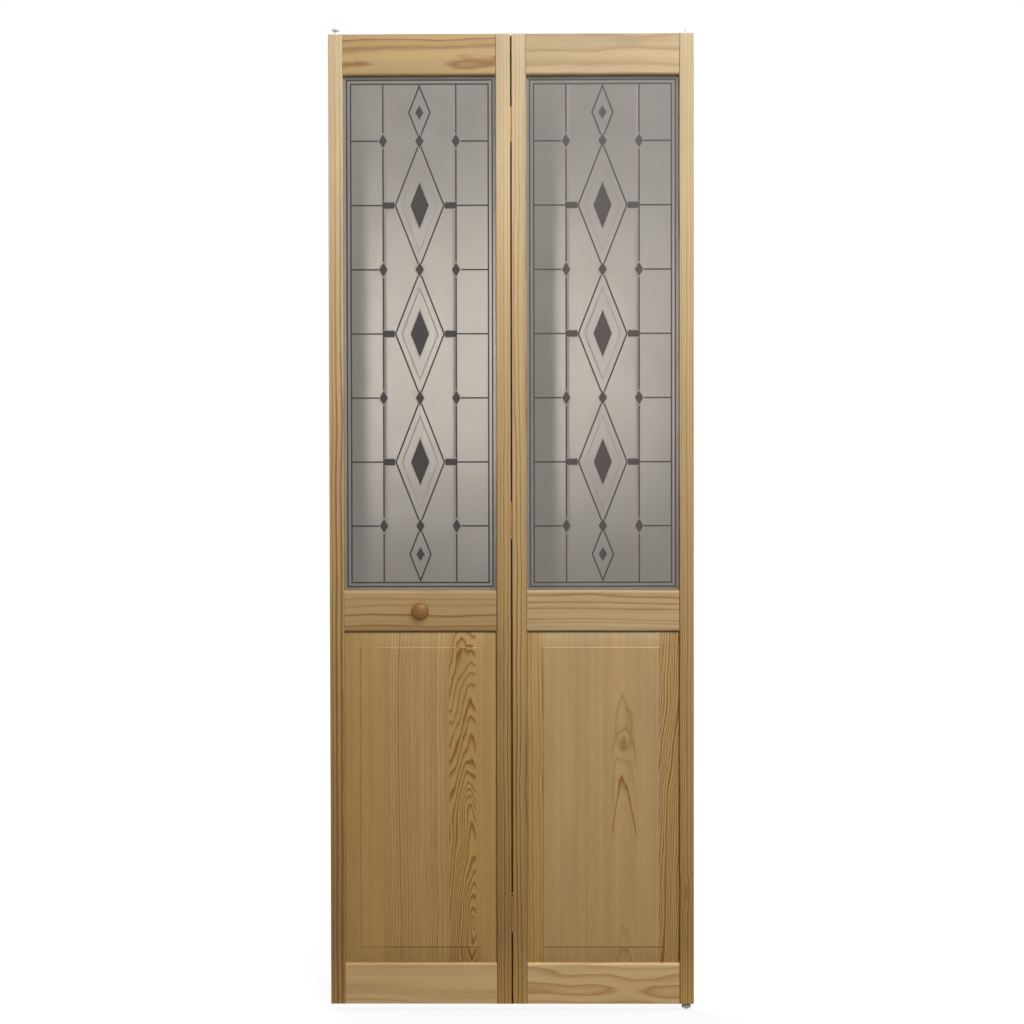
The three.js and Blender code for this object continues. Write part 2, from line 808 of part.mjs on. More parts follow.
// The collar at a plunger's foot, and its shank up to the given height.
const plungerOutline = (shankTop) => [
  [0, collarFoot],
  [collarRadius, collarFoot],
  [collarRadius, collarTop],
  [plungerRadius, collarTop],
  [plungerRadius, shankTop],
];

function makeTopPivotPin() {
  const tip = flangeTopRise + pivotTravel + travelMargin;
  return turned([
    ...plungerOutline(tip - pivotTipRound),
    [plungerRadius - pivotTipRound, tip],
    [0, tip],
  ], [0, 0, 0], [0, 0, 1]);
}

const guideShoulder = flangeTopRise + guideTravel + travelMargin;
const guideWheelFoot = guideShoulder + seat;
const guideHeadFoot = guideWheelFoot + guideWheelHeight + seat;

function makeGuidePin() {
  return turned([
    ...plungerOutline(guideShoulder),
    [guideAxleRadius, guideShoulder],
    [guideAxleRadius, guideHeadFoot],
    [guideHeadRadius, guideHeadFoot],
    [guideHeadRadius, guideHeadFoot + guideHeadHeight],
    [0, guideHeadFoot + guideHeadHeight],
  ], [0, 0, 0], [0, 0, 1]);
}

function makeGuideWheel() {
  const bore = guideAxleRadius + seat;
  const top = guideWheelFoot + guideWheelHeight;
  return turned([
    [bore, guideWheelFoot],
    [guideWheelRadius - guideWheelRound, guideWheelFoot],
    [guideWheelRadius, guideWheelFoot + guideWheelRound],
    [guideWheelRadius, top - guideWheelRound],
    [guideWheelRadius - guideWheelRound, top],
    [bore, top],
    [bore, guideWheelFoot],
  ], [0, 0, 0], [0, 0, 1]);
}

function addPlunger(name, x) {
  const group = new THREE.Group();
  group.position.set(x, 0, leafBottom + leafHeight - sleeveDepth);
  door.add(group);
  addPiece(group, `${name}_sleeve`, makeSleeve(), whiteNylon);
  addPiece(group, `${name}_spring`, makeSpring(), zincSteel);
  return group;
}

const topPivot = addPlunger('top_pivot', 0);
addPiece(topPivot, 'top_pivot_pin', makeTopPivotPin(), whiteNylon);

const guide = addPlunger('guide', hingeX + hingeX);
addPiece(guide, 'guide_pin', makeGuidePin(), whiteNylon);
addPiece(guide, 'guide_wheel', makeGuideWheel(), whiteNylon);

export default door;
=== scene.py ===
# The looks of a folding wardrobe door: knotty pine boards, frosted glass with a leaded design, a turned
# knob, gilt hinges and nylon pivots. Metres, +Z up, with the room side facing -Y.

import json
import math

import bmesh
import bpy
from mathutils import Matrix, Vector

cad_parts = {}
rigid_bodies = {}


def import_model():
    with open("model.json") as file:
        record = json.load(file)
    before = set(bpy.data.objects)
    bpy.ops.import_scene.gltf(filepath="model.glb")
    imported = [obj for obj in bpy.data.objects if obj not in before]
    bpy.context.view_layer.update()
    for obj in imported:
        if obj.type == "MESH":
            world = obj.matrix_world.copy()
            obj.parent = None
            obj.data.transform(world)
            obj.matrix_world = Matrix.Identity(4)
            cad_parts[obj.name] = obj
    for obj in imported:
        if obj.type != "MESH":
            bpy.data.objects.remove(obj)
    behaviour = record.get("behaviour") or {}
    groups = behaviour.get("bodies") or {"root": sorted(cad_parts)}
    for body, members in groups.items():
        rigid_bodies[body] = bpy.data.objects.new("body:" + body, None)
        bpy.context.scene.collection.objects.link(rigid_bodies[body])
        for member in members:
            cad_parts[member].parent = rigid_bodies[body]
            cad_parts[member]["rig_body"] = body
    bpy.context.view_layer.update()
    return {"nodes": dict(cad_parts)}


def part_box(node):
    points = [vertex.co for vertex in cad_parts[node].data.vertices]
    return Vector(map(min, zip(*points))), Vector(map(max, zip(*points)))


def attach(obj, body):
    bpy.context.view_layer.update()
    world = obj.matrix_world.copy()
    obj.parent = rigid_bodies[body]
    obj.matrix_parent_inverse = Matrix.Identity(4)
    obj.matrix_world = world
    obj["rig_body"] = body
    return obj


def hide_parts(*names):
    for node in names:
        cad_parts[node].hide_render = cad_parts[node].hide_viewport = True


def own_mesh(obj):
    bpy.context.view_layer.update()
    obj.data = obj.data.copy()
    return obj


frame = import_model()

LEAVES = ("lead", "pivot")
MM = 0.001
QUARTER_TURN = math.pi / 2
X_AXIS = Vector((1, 0, 0))
WHITE = (1, 1, 1, 1)
BLACK = (0, 0, 0, 1)

# The curve between a screen's values and light
SCREEN_MOST = 255
SCREEN_KNEE = 0.04045
SCREEN_SLOPE = 12.92
SCREEN_OFFSET = 0.055
SCREEN_POWER = 2.4


def srgb(red, green, blue):
    """A colour given from 0 to 255 as it looks on a screen."""
    def linear(value):
        share = value / SCREEN_MOST
        if share < SCREEN_KNEE:
            return share / SCREEN_SLOPE
        return ((share + SCREEN_OFFSET) / (1 + SCREEN_OFFSET)) ** SCREEN_POWER
    return (linear(red), linear(green), linear(blue), 1.0)


# Camera
LENS = 70.06
CAMERA_DISTANCE = 4.1
CAMERA_X = -0.3213
CAMERA_Z = 1.1052
CAMERA_PITCH = math.radians(1.04)
CAMERA_YAW = math.radians(0.527)
CAMERA_ROLL = math.radians(-0.108)


def make_camera():
    data = bpy.data.cameras.new("camera")
    data.lens = LENS
    camera = bpy.data.objects.new("camera", data)
    door_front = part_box("lead_outer_stile")[0].y
    place = Matrix.Translation((CAMERA_X, door_front - CAMERA_DISTANCE, CAMERA_Z))
    turn = Matrix.Rotation(CAMERA_YAW, 4, "Z")
    tilt = Matrix.Rotation(QUARTER_TURN - CAMERA_PITCH, 4, "X")
    roll = Matrix.Rotation(CAMERA_ROLL, 4, "Z")
    camera.matrix_world = place @ turn @ tilt @ roll
    bpy.context.scene.collection.objects.link(camera)
    bpy.context.scene.camera = camera


# Node trees

def add(tree, kind, inputs=None, **settings):
    """A new node. An input is a socket to link, or a value to set."""
    made = tree.nodes.new(kind)
    for name, value in settings.items():
        setattr(made, name, value)
    for name, value in (inputs or {}).items():
        socket = made.inputs[name]
        if isinstance(value, bpy.types.NodeSocket):
            tree.links.new(value, socket)
        else:
            socket.default_value = value
    return made


def maths(tree, operation, first, second=0.0, third=0.0):
    made = add(tree, "ShaderNodeMath", {0: first, 1: second, 2: third}, operation=operation)
    return made.outputs[0]


def times(tree, first, second):
    return maths(tree, "MULTIPLY", first, second)


def vectors(tree, operation, first, second=(0, 0, 0), third=(0, 0, 0)):
    made = add(tree, "ShaderNodeVectorMath", {0: first, 1: second, 2: third}, operation=operation)
    return made.outputs[0]


def scaled(tree, vector, scale):
    made = add(tree, "ShaderNodeVectorMath", {0: vector, "Scale": scale}, operation="SCALE")
    return made.outputs[0]


def length_of(tree, vector):
    return add(tree, "ShaderNodeVectorMath", {0: vector}, operation="LENGTH").outputs["Value"]


def combined(tree, x, y, z):
    return add(tree, "ShaderNodeCombineXYZ", {"X": x, "Y": y, "Z": z}).outputs[0]


def separated(tree, vector):
    return add(tree, "ShaderNodeSeparateXYZ", {"Vector": vector}).outputs


def object_place(tree):
    return add(tree, "ShaderNodeTexCoord").outputs["Object"]


def noise(tree, vector, scale=1.0, detail=2.0, roughness=0.5):
    inputs = {"Vector": vector, "Scale": scale, "Detail": detail, "Roughness": roughness}
    return add(tree, "ShaderNodeTexNoise", inputs).outputs


def mapped(tree, value, from_low, from_high, to_low, to_high, smooth=False):
    inputs = {0: value, 1: from_low, 2: from_high, 3: to_low, 4: to_high}
    made = add(tree, "ShaderNodeMapRange", inputs)
    made.interpolation_type = "SMOOTHSTEP" if smooth else "LINEAR"
    return made.outputs[0]


def mixed(tree, share, first, second, blend="MIX"):
    made = tree.nodes.new("ShaderNodeMix")
    made.data_type = "RGBA"
    made.blend_type = blend
    colours = [socket for socket in made.inputs if socket.type == "RGBA"]
    for socket, value in zip([made.inputs[0], *colours], (share, first, second)):
        if isinstance(value, bpy.types.NodeSocket):
            tree.links.new(value, socket)
        else:
            socket.default_value = value
    return next(socket for socket in made.outputs if socket.type == "RGBA")


def tinted(tree, colour, level):
    """A colour made lighter or darker by a level."""
    return mixed(tree, 1.0, colour, combined(tree, level, level, level), "MULTIPLY")


def ramp(tree, value, stops):
    made = add(tree, "ShaderNodeValToRGB", {"Fac": value})
    elements = made.color_ramp.elements
    while len(elements) < len(stops):
        elements.new(0)
    for element, (position, level) in zip(elements, stops):
        element.position = position
        element.color = (level, level, level, 1)
    return made.outputs["Color"]


def new_material(name):
    made = bpy.data.materials.new(name)
    made.use_nodes = True
    tree = made.node_tree
    shader = tree.nodes["Principled BSDF"]
    return made, tree, shader


def add_relief(tree, shader, height, strength, distance):
    inputs = {"Strength": strength, "Distance": distance, "Height": height}
    tree.links.new(add(tree, "ShaderNodeBump", inputs).outputs[0], shader.inputs["Normal"])


# The middle of a noise, and the range that most of it lies in
NOISE_MIDDLE = 0.5
NOISE_MIDDLE_COLOUR = (0.5, 0.5, 0.5)
NOISE_RANGE = (0.3, 0.7)

# Pine. Growth rings lie round a pith that runs along the board and wanders. Millimetres, grain along Z.
GRAIN_INPUTS = (
    ("Place", "Vector"), ("Pith", "Vector"), ("Lean", "Vector"), ("Ring", "Float"),
    ("Wander", "Float"), ("Contrast", "Float"), ("Seed", "Float"), ("Knot", "Vector"),
    ("Early", "Color"), ("Sparse", "Float"), ("Soft", "Float"), ("Fade", "Float"),
)
GRAIN_OUTPUTS = (("Color", "Color"), ("Height", "Float"), ("Roughness", "Float"))
RING_PROFILE = ((0.0, 0.4), (0.06, 0.02), (0.5, 0.04), (0.76, 0.34), (0.92, 1.0), (1.0, 0.4))
LATE_WOOD = (0.51, 0.31, 0.11, 1)
ACROSS_GRAIN = (1, 1, 0)
WANDER_LENGTH = 420.0
WAVE_WIDTH = 42.0
WAVE_LENGTH = 210.0
WAVE_SHARE = 0.45
UNEVEN_WIDTH = 19.0
UNEVEN_DETAIL = 1.0
UNEVEN_RINGS = 3.2
RAGGED_SCALE = (0.7, 0.7, 0.02)
RAGGED_RINGS = 0.3
FINE_DETAIL = 3.0
FINE_ROUGHNESS = 0.6
FIBRE_WIDTH = 0.55
FIBRE_LENGTH = 46.0
FIBRE_RANGE = (0.2, 0.8)
FIBRE_TINT = (0.92, 1.08)
FIBRE_HEIGHT = 0.5
FIBRE_GLOSS = (0.56, 0.44)
STREAK_WIDTH = 9.0
STREAK_LENGTH = 900.0
STREAK_RANGE = (0.25, 0.75)
STREAK_TINT = (0.91, 1.09)
CLOUD_WIDTH = 55.0
CLOUD_LENGTH = 330.0
CLOUD_TINT = (0.92, 1.08)
CANAL_WIDTH = 0.5
CANAL_LENGTH = 7.0
CANAL_DETAIL = 0.0
CANAL_RANGE = (0.7, 0.78)
CANAL_TINT = (1.0, 0.84)
CANAL_DEPTH = 0.5
LATE_HEIGHT = 0.6
LATE_GLOSS = 0.05
# Painted sheen: how fast the ring contrast drops towards the head of a board with painted top light
TOP_LIGHT_TO_PLAIN = 2.0
TOP_LIGHT_MOST = 0.3
KNOT_SMALLEST = 0.001
KNOT_FLATTEN = 0.45
KNOT_RAGGED_SCALE = 0.4
KNOT_RAGGED_REACH = 1.6
KNOT_REACH = 2.4
KNOT_PUSH = 0.7
KNOT_RING = 1.1
KNOT_EDGE = (1.6, 0.4)
KNOT_STRENGTH = 0.7
KNOT_TINT = (1.15, 0.9)
KNOT_COLOUR = srgb(146, 98, 40)


def grown_noise(group, given, width, length, seeds=(0, 0, 0), **settings):
    """Noise drawn out along the grain, in spots of a width and a length."""
    shrink = (1 / width, 1 / width, 1 / length)
    place = vectors(group, "MULTIPLY_ADD", given["Place"], shrink, seeds)
    return noise(group, place, **settings)


def distance_from_pith(group, given, along, seeds):
    """How far a place lies from a pith that leans, drifts and waves along the board."""
    drift_place = combined(group, given["Seed"], 0.0, maths(group, "DIVIDE", along, WANDER_LENGTH))
    drift = noise(group, drift_place)["Color"]
    drift = vectors(group, "SUBTRACT", drift, NOISE_MIDDLE_COLOUR)
    drift = scaled(group, drift, given["Wander"])
    wave = grown_noise(group, given, WAVE_WIDTH, WAVE_LENGTH, seeds)["Color"]
    wave = vectors(group, "SUBTRACT", wave, NOISE_MIDDLE_COLOUR)
    wave = scaled(group, wave, times(group, given["Wander"], WAVE_SHARE))
    pith = vectors(group, "ADD", given["Pith"], scaled(group, given["Lean"], along))
    pith = vectors(group, "ADD", pith, vectors(group, "ADD", drift, wave))
    away = vectors(group, "SUBTRACT", given["Place"], pith)
    return length_of(group, vectors(group, "MULTIPLY", away, ACROSS_GRAIN))


def distance_from_knot(group, given, across, along, knot):
    """How far a place lies from the middle of a knot that is longer than wide, and ragged."""
    knot_across = maths(group, "SUBTRACT", across, knot[0])
    knot_along = times(group, maths(group, "SUBTRACT", along, knot[1]), KNOT_FLATTEN)
    ragged = noise(group, given["Place"], KNOT_RAGGED_SCALE)["Color"]
    ragged = scaled(group, ragged, KNOT_RAGGED_REACH)
    away = combined(group, knot_across, knot_along, 0.0)
    return length_of(group, vectors(group, "ADD", away, ragged))


def push_of_knot(group, distance, size):
    """How far the rings are bent outwards round the knot."""
    nearness = maths(group, "DIVIDE", distance, times(group, size, KNOT_REACH))
    falloff = maths(group, "EXPONENT", times(group, maths(group, "POWER", nearness, 2.0), -1.0))
    return times(group, falloff, times(group, size, KNOT_PUSH))


def late_wood(group, given, radius):
    """The share of late wood, in rings of uneven width and strength with ragged edges."""
    uneven_place = combined(group, maths(group, "DIVIDE", radius, UNEVEN_WIDTH), given["Seed"], 0.0)
    uneven = noise(group, uneven_place, detail=UNEVEN_DETAIL)["Fac"]
    uneven = maths(group, "SUBTRACT", uneven, NOISE_MIDDLE)
    rings = maths(group, "DIVIDE", radius, given["Ring"])
    rings = maths(group, "MULTIPLY_ADD", uneven, UNEVEN_RINGS, rings)
    ragged = vectors(group, "MULTIPLY", given["Place"], RAGGED_SCALE)
    ragged = noise(group, ragged, detail=FINE_DETAIL)["Fac"]
    ragged = maths(group, "SUBTRACT", ragged, NOISE_MIDDLE)
    rings = maths(group, "MULTIPLY_ADD", ragged, RAGGED_RINGS, rings)
    late = ramp(group, maths(group, "FRACT", rings), RING_PROFILE)
    late = maths(group, "POWER", late, given["Soft"])
    number = maths(group, "ADD", maths(group, "FLOOR", rings), given["Seed"])
    strength = add(group, "ShaderNodeTexWhiteNoise", {"W": number}, noise_dimensions="1D")
    strength = maths(group, "POWER", strength.outputs["Value"], given["Sparse"])
    return times(group, late, strength)


def ring_contrast(group, given, along):
    """The rings' contrast, which a painted sheen lowers towards the head of a board with painted top
    light, and which grows a little towards its foot.
    """
    sheen_offset = times(group, times(group, along, -TOP_LIGHT_TO_PLAIN * MM), given["Fade"])
    sheen_offset = maths(group, "MINIMUM", sheen_offset, TOP_LIGHT_MOST)
    return times(group, given["Contrast"], maths(group, "ADD", sheen_offset, 1.0))


def with_knot(group, colour, distance, size, present):
    """A colour with the dark heart of the knot over it."""
    heart = maths(group, "DIVIDE", distance, size)
    heart = mapped(group, heart, *KNOT_EDGE, 0.0, KNOT_STRENGTH, smooth=True)
    heart = times(group, heart, maths(group, "GREATER_THAN", present, 0.0))
    rings = maths(group, "FRACT", maths(group, "DIVIDE", distance, KNOT_RING))
    dark = tinted(group, KNOT_COLOUR, mapped(group, rings, 0.0, 1.0, *KNOT_TINT))
    return mixed(group, heart, colour, dark)


def grain_group():
    """Growth rings, fibres, resin canals and one knot, as colour, height and roughness."""
    group = bpy.data.node_groups.new("pine_grain", "ShaderNodeTree")
    for way, sockets in (("INPUT", GRAIN_INPUTS), ("OUTPUT", GRAIN_OUTPUTS)):
        for name, kind in sockets:
            group.interface.new_socket(name, in_out=way, socket_type="NodeSocket" + kind)
    given = group.nodes.new("NodeGroupInput").outputs
    result = group.nodes.new("NodeGroupOutput").inputs
    across, _, along = separated(group, given["Place"])
    seeds = combined(group, given["Seed"], given["Seed"], given["Seed"])

    knot = separated(group, given["Knot"])
    from_knot = distance_from_knot(group, given, across, along, knot)
    knot_size = maths(group, "MAXIMUM", knot[2], KNOT_SMALLEST)
    radius = distance_from_pith(group, given, along, seeds)
    radius = maths(group, "ADD", radius, push_of_knot(group, from_knot, knot_size))
    late = late_wood(group, given, radius)
    late_colour = mixed(group, 1.0, given["Early"], LATE_WOOD, "MULTIPLY")
    share = times(group, late, ring_contrast(group, given, along))
    colour = mixed(group, share, given["Early"], late_colour)

    fine = {"detail": FINE_DETAIL, "roughness": FINE_ROUGHNESS}
    fibre = grown_noise(group, given, FIBRE_WIDTH, FIBRE_LENGTH, **fine)["Fac"]
    streak = grown_noise(group, given, STREAK_WIDTH, STREAK_LENGTH, seeds, **fine)["Fac"]
    cloud = grown_noise(group, given, CLOUD_WIDTH, CLOUD_LENGTH, seeds)["Fac"]
    canal = grown_noise(group, given, CANAL_WIDTH, CANAL_LENGTH, detail=CANAL_DETAIL)["Fac"]
    canal = mapped(group, canal, *CANAL_RANGE, 0.0, 1.0, smooth=True)
    tint = mapped(group, fibre, *FIBRE_RANGE, *FIBRE_TINT)
    tint = times(group, tint, mapped(group, streak, *STREAK_RANGE, *STREAK_TINT))
    tint = times(group, tint, mapped(group, cloud, *NOISE_RANGE, *CLOUD_TINT))
    tint = times(group, tint, mapped(group, canal, 0.0, 1.0, *CANAL_TINT))
    colour = with_knot(group, tinted(group, colour, tint), from_knot, knot_size, knot[2])

    height = maths(group, "MULTIPLY_ADD", fibre, FIBRE_HEIGHT, times(group, late, LATE_HEIGHT))
    height = maths(group, "SUBTRACT", height, times(group, canal, CANAL_DEPTH))
    finish = mapped(group, fibre, *FIBRE_RANGE, *FIBRE_GLOSS)
    finish = maths(group, "SUBTRACT", finish, times(group, late, LATE_GLOSS))
    group.links.new(colour, result["Color"])
    group.links.new(height, result["Height"])
    group.links.new(finish, result["Roughness"])


# Pine's colours and finish. A relief is its strength and its height in metres.
PALE_PINE = srgb(197, 174, 135)
GOLDEN_PINE = srgb(196, 157, 88)
PINE_RELIEF = (0.35, 0.00012)
PINE_SHINE = 0.35
VARNISH = 0.35
VARNISH_ROUGHNESS = 0.45
# Painted light towards a board's head turns it paler by this much for each metre
TOP_LIGHT_TO_PALE = 2.0
TO_MM = (1000, 1000, 1000)
NO_KNOT = (0, 0, 0)
NO_LEAN = (0, 0, 0)


def painted_shading(tree, level, axes, pools):
    """Paints shade into a tone, and light where a pool's darkness is negative. A pool is its darkness,
    and for each axis that bounds it, the axis, where the pool starts and where it is full."""
    for share, bounds in pools:
        for axis, start, full in bounds:
            share = times(tree, mapped(tree, axes[axis], start, full, 0.0, 1.0), share)
        level = times(tree, level, maths(tree, "SUBTRACT", 1.0, share))
    return level


def pine(name, middle, grain="Z", pith=(40, 40), lean=NO_LEAN, ring=5.0, wander=8.0, contrast=0.6,
         seed=0.0, knot=NO_KNOT, sparse=0.4, soft=1.0, gold=0.5, tone=1.0, painted_top_light=0.0, pools=(),
         colours=(PALE_PINE, GOLDEN_PINE)):
    """Pine for one board. middle is the board's middle in metres, and the grain is in millimetres.
    sparse leaves few strong rings, and soft below 1 makes the late wood broad. gold goes from the
    first of the colours to the second, tone makes the board lighter, and painted_top_light paints
    light and sheen that make it paler and lighter for each metre along it. pools are where shade is
    painted."""
    made, tree, shader = new_material(name)
    place = vectors(tree, "SUBTRACT", object_place(tree), middle)
    place = vectors(tree, "MULTIPLY", place, TO_MM)
    if grain == "X":
        x, y, z = separated(tree, place)
        place = combined(tree, z, y, x)
    rise = times(tree, separated(tree, place)[2], MM)
    # Painted light and sheen: paler and lighter for each metre along the board
    golden = maths(tree, "MULTIPLY_ADD", rise, -painted_top_light * TOP_LIGHT_TO_PALE, gold)
    level = maths(tree, "MULTIPLY_ADD", rise, painted_top_light, 1.0)
    level = times(tree, level, tone)
    # Painted shade from the pools, and painted light at a stile's foot
    level = painted_shading(tree, level, separated(tree, place), pools)
    early = tinted(tree, mixed(tree, golden, *colours), level)
    grown = add(tree, "ShaderNodeGroup", node_tree=bpy.data.node_groups["pine_grain"])
    tree.links.new(place, grown.inputs["Place"])
    tree.links.new(early, grown.inputs["Early"])
    values = {
        "Pith": (*pith, 0), "Lean": lean, "Ring": ring, "Wander": wander, "Contrast": contrast,
        "Seed": seed, "Knot": knot, "Sparse": sparse, "Soft": soft, "Fade": painted_top_light,
    }
    for socket, value in values.items():
        grown.inputs[socket].default_value = value
    tree.links.new(grown.outputs["Color"], shader.inputs["Base Color"])
    tree.links.new(grown.outputs["Roughness"], shader.inputs["Roughness"])
    add_relief(tree, shader, grown.outputs["Height"], *PINE_RELIEF)
    shader.inputs["Specular IOR Level"].default_value = PINE_SHINE
    shader.inputs["Coat Weight"].default_value = VARNISH
    shader.inputs["Coat Roughness"].default_value = VARNISH_ROUGHNESS
    return made


# Frosted glass, its leaded lines, metal and nylon
GLASS_TONES = (srgb(137, 132, 124), srgb(144, 139, 131))
GLASS_CLOUDS = 9.0
GLASS_CLOUD_DETAIL = 2.0
GLASS_FROST = 2600.0
GLASS_FROST_DETAIL = 1.0
GLASS_ROUGHNESS = (0.42, 0.52)
GLASS_RELIEF = (0.25, 0.00004)
GLASS_CLEAR = 0.3
GLASS_INDEX = 1.5
PAINT_SPOTS = 700.0
PAINT_ROUGHNESS = (0.5, 0.62)
PALE_LINE = (srgb(150, 142, 136), srgb(158, 150, 144))
DARK_LINE = (srgb(38, 33, 29), srgb(48, 43, 38))
FADED_LINE = (srgb(66, 60, 54), srgb(76, 69, 63))
METAL_SPOTS = 90.0
METAL_RELIEF = (0.2, 0.00003)
BRASS_TONES = (srgb(152, 117, 64), srgb(178, 141, 84))
BRASS_ROUGHNESS = (0.42, 0.56)
BRASS_BRUSHING = (300, 300, 2400)
STEEL_TONES = (srgb(170, 172, 174), srgb(200, 201, 203))
STEEL_ROUGHNESS = (0.25, 0.4)
STEEL_BRUSHING = (1500, 1500, 300)
NYLON_TONES = (srgb(226, 224, 214), srgb(238, 237, 230))
NYLON_SPOTS = 160.0
NYLON_ROUGHNESS = (0.38, 0.5)
NYLON_RELIEF = (0.15, 0.00005)


def mottled(tree, shader, tones, spots, detail=FINE_DETAIL):
    """Lets the colour change between two tones in spots, and gives where it lies between them."""
    level = noise(tree, object_place(tree), spots, detail)["Fac"]
    level = mapped(tree, level, *NOISE_RANGE, 0.0, 1.0)
    tree.links.new(mixed(tree, level, *tones), shader.inputs["Base Color"])
    return level


def frosted_glass():
    made, tree, shader = new_material("frosted_glass")
    mottled(tree, shader, GLASS_TONES, GLASS_CLOUDS, GLASS_CLOUD_DETAIL)
    frost = noise(tree, object_place(tree), GLASS_FROST, GLASS_FROST_DETAIL)["Fac"]
    roughness = mapped(tree, frost, *NOISE_RANGE, *GLASS_ROUGHNESS)
    tree.links.new(roughness, shader.inputs["Roughness"])
    add_relief(tree, shader, frost, *GLASS_RELIEF)
    shader.inputs["Transmission Weight"].default_value = GLASS_CLEAR
    shader.inputs["IOR"].default_value = GLASS_INDEX
    return made


def line_paint(name, tones):
    """Matt enamel with a faintly uneven tone."""
    made, tree, shader = new_material(name)
    level = mottled(tree, shader, tones, PAINT_SPOTS)
    roughness = mapped(tree, level, 0.0, 1.0, *PAINT_ROUGHNESS)
    tree.links.new(roughness, shader.inputs["Roughness"])
    return made


def brushed_metal(name, tones, rough, brushing):
    made, tree, shader = new_material(name)
    mottled(tree, shader, tones, METAL_SPOTS)
    lines = vectors(tree, "MULTIPLY", object_place(tree), brushing)
    lines = noise(tree, lines, detail=FINE_DETAIL)["Fac"]
    roughness = mapped(tree, lines, *NOISE_RANGE, *rough)
    tree.links.new(roughness, shader.inputs["Roughness"])
    add_relief(tree, shader, lines, *METAL_RELIEF)
    shader.inputs["Metallic"].default_value = 1.0
    return made


def nylon():
    made, tree, shader = new_material("white_nylon")
    level = mottled(tree, shader, NYLON_TONES, NYLON_SPOTS)
    roughness = mapped(tree, level, 0.0, 1.0, *NYLON_ROUGHNESS)
    tree.links.new(roughness, shader.inputs["Roughness"])
    add_relief(tree, shader, level, *NYLON_RELIEF)
    return made


# Stage
FLOOR_SIZE = 24.0
FLOOR_TONE = (0.15, 0.15, 0.149, 1)
FLOOR_ROUGHNESS = 0.9
FLOOR_LIFT = 0.85
FLOOR_LIFT_NEAR = 0.5
FLOOR_LIFT_FAR = 3.0
FILL = 0.04
CARD_WIDTH = 0.009
CARD_GAP = 0.003
CARD_TOUCH = 0.0005
CARD_PEEP = 0.004
# The gap card is a sheet of painted shade of this tone
CARD_SHADE_TONE = (0.06, 0.04, 0.026, 1)
FLAG_WIDTHS = {"lead": 0.049, "pivot": 0.069}
FLAG_GAP = 0.06

# Lamps: name, place, target, width, height and power
LAMPS = (
    ("key", (0.9, -2.5, 4.1), (-0.36, 0.0, 0.9), 2.4, 1.6, 128),
    ("front", (0.5, -4.6, 3.3), (-0.36, 0.0, 1.8), 1.6, 1.0, 56),
    ("rear", (-1.6, 2.4, 3.2), (-0.36, 0.0, 1.0), 1.6, 1.2, 90),
    ("right", (3.4, 0.7, 1.9), (-0.1, -0.1, 1.0), 0.8, 1.6, 40),
    ("left", (-4.1, 0.7, 1.9), (-0.6, -0.1, 1.0), 0.8, 1.6, 40),
    ("glow", (-0.68, 1.5, 1.44), (-0.6, 0.0, 1.34), 1.5, 0.74, 65),
)
CARD_LAMP = ("card_lamp", (-3.1, -3.2, 1.6), (-0.36, 0.0, 1.0), 0.5, 0.5, 13000)


def seen_directly(tree):
    """One for the rays that show the background to the camera, in metal and through glass."""
    rays = add(tree, "ShaderNodeLightPath").outputs
    seen = maths(tree, "MAXIMUM", rays["Is Camera Ray"], rays["Is Glossy Ray"])
    return maths(tree, "MAXIMUM", seen, rays["Is Transmission Ray"])


def make_floor():
    """A pale floor that reads white to the camera and keeps the door's shadow."""
    bpy.ops.mesh.primitive_plane_add(size=FLOOR_SIZE)
    floor = bpy.context.object
    floor.name = "floor"
    made, tree, shader = new_material("floor")
    shader.inputs["Base Color"].default_value = FLOOR_TONE
    shader.inputs["Roughness"].default_value = FLOOR_ROUGHNESS
    shader.inputs["Specular IOR Level"].default_value = 0.0
    shader.inputs["Emission Color"].default_value = WHITE
    away = length_of(tree, object_place(tree))
    lift = mapped(tree, away, FLOOR_LIFT_NEAR, FLOOR_LIFT_FAR, FLOOR_LIFT, 1.0)
    lift = times(tree, lift, seen_directly(tree))
    tree.links.new(lift, shader.inputs["Emission Strength"])
    floor.data.materials.append(made)


def make_world():
    """Even fill light, which the camera, glossy and transmission rays see as white."""
    world = bpy.data.worlds.new("studio")
    bpy.context.scene.world = world
    world.use_nodes = True
    tree = world.node_tree
    background = tree.nodes["Background"]
    strength = mapped(tree, seen_directly(tree), 0.0, 1.0, FILL, 1.0)
    tree.links.new(strength, background.inputs["Strength"])
    background.inputs["Color"].default_value = WHITE


def area_lamp(name, place, target, width, height, power):
    data = bpy.data.lights.new(name, "AREA")
    data.shape = "RECTANGLE"
    data.size = width
    data.size_y = height
    data.energy = power
    lamp = bpy.data.objects.new(name, data)
    look = Vector(target) - Vector(place)
    turn = look.to_track_quat("-Z", "Y").to_matrix().to_4x4()
    lamp.matrix_world = Matrix.Translation(place) @ turn
    lamp.visible_camera = False
    bpy.context.scene.collection.objects.link(lamp)
    return lamp


def make_lamps():
    for lamp in LAMPS:
        area_lamp(*lamp)
    glow = bpy.data.objects["glow"]
    glow.visible_diffuse = False
    glow.visible_glossy = False


def keep_out_of_shadow(shape, *lamp_names):
    """Keeps a shape from casting a shadow in the light of the named lamps."""
    for name in lamp_names:
        linking = bpy.data.objects[name].light_linking
        if not linking.blocker_collection:
            linking.blocker_collection = bpy.data.collections.new(name + "_blockers")
        blockers = linking.blocker_collection
        blockers.objects.link(shape)
        blockers.collection_objects[-1].light_linking.link_state = "EXCLUDE"


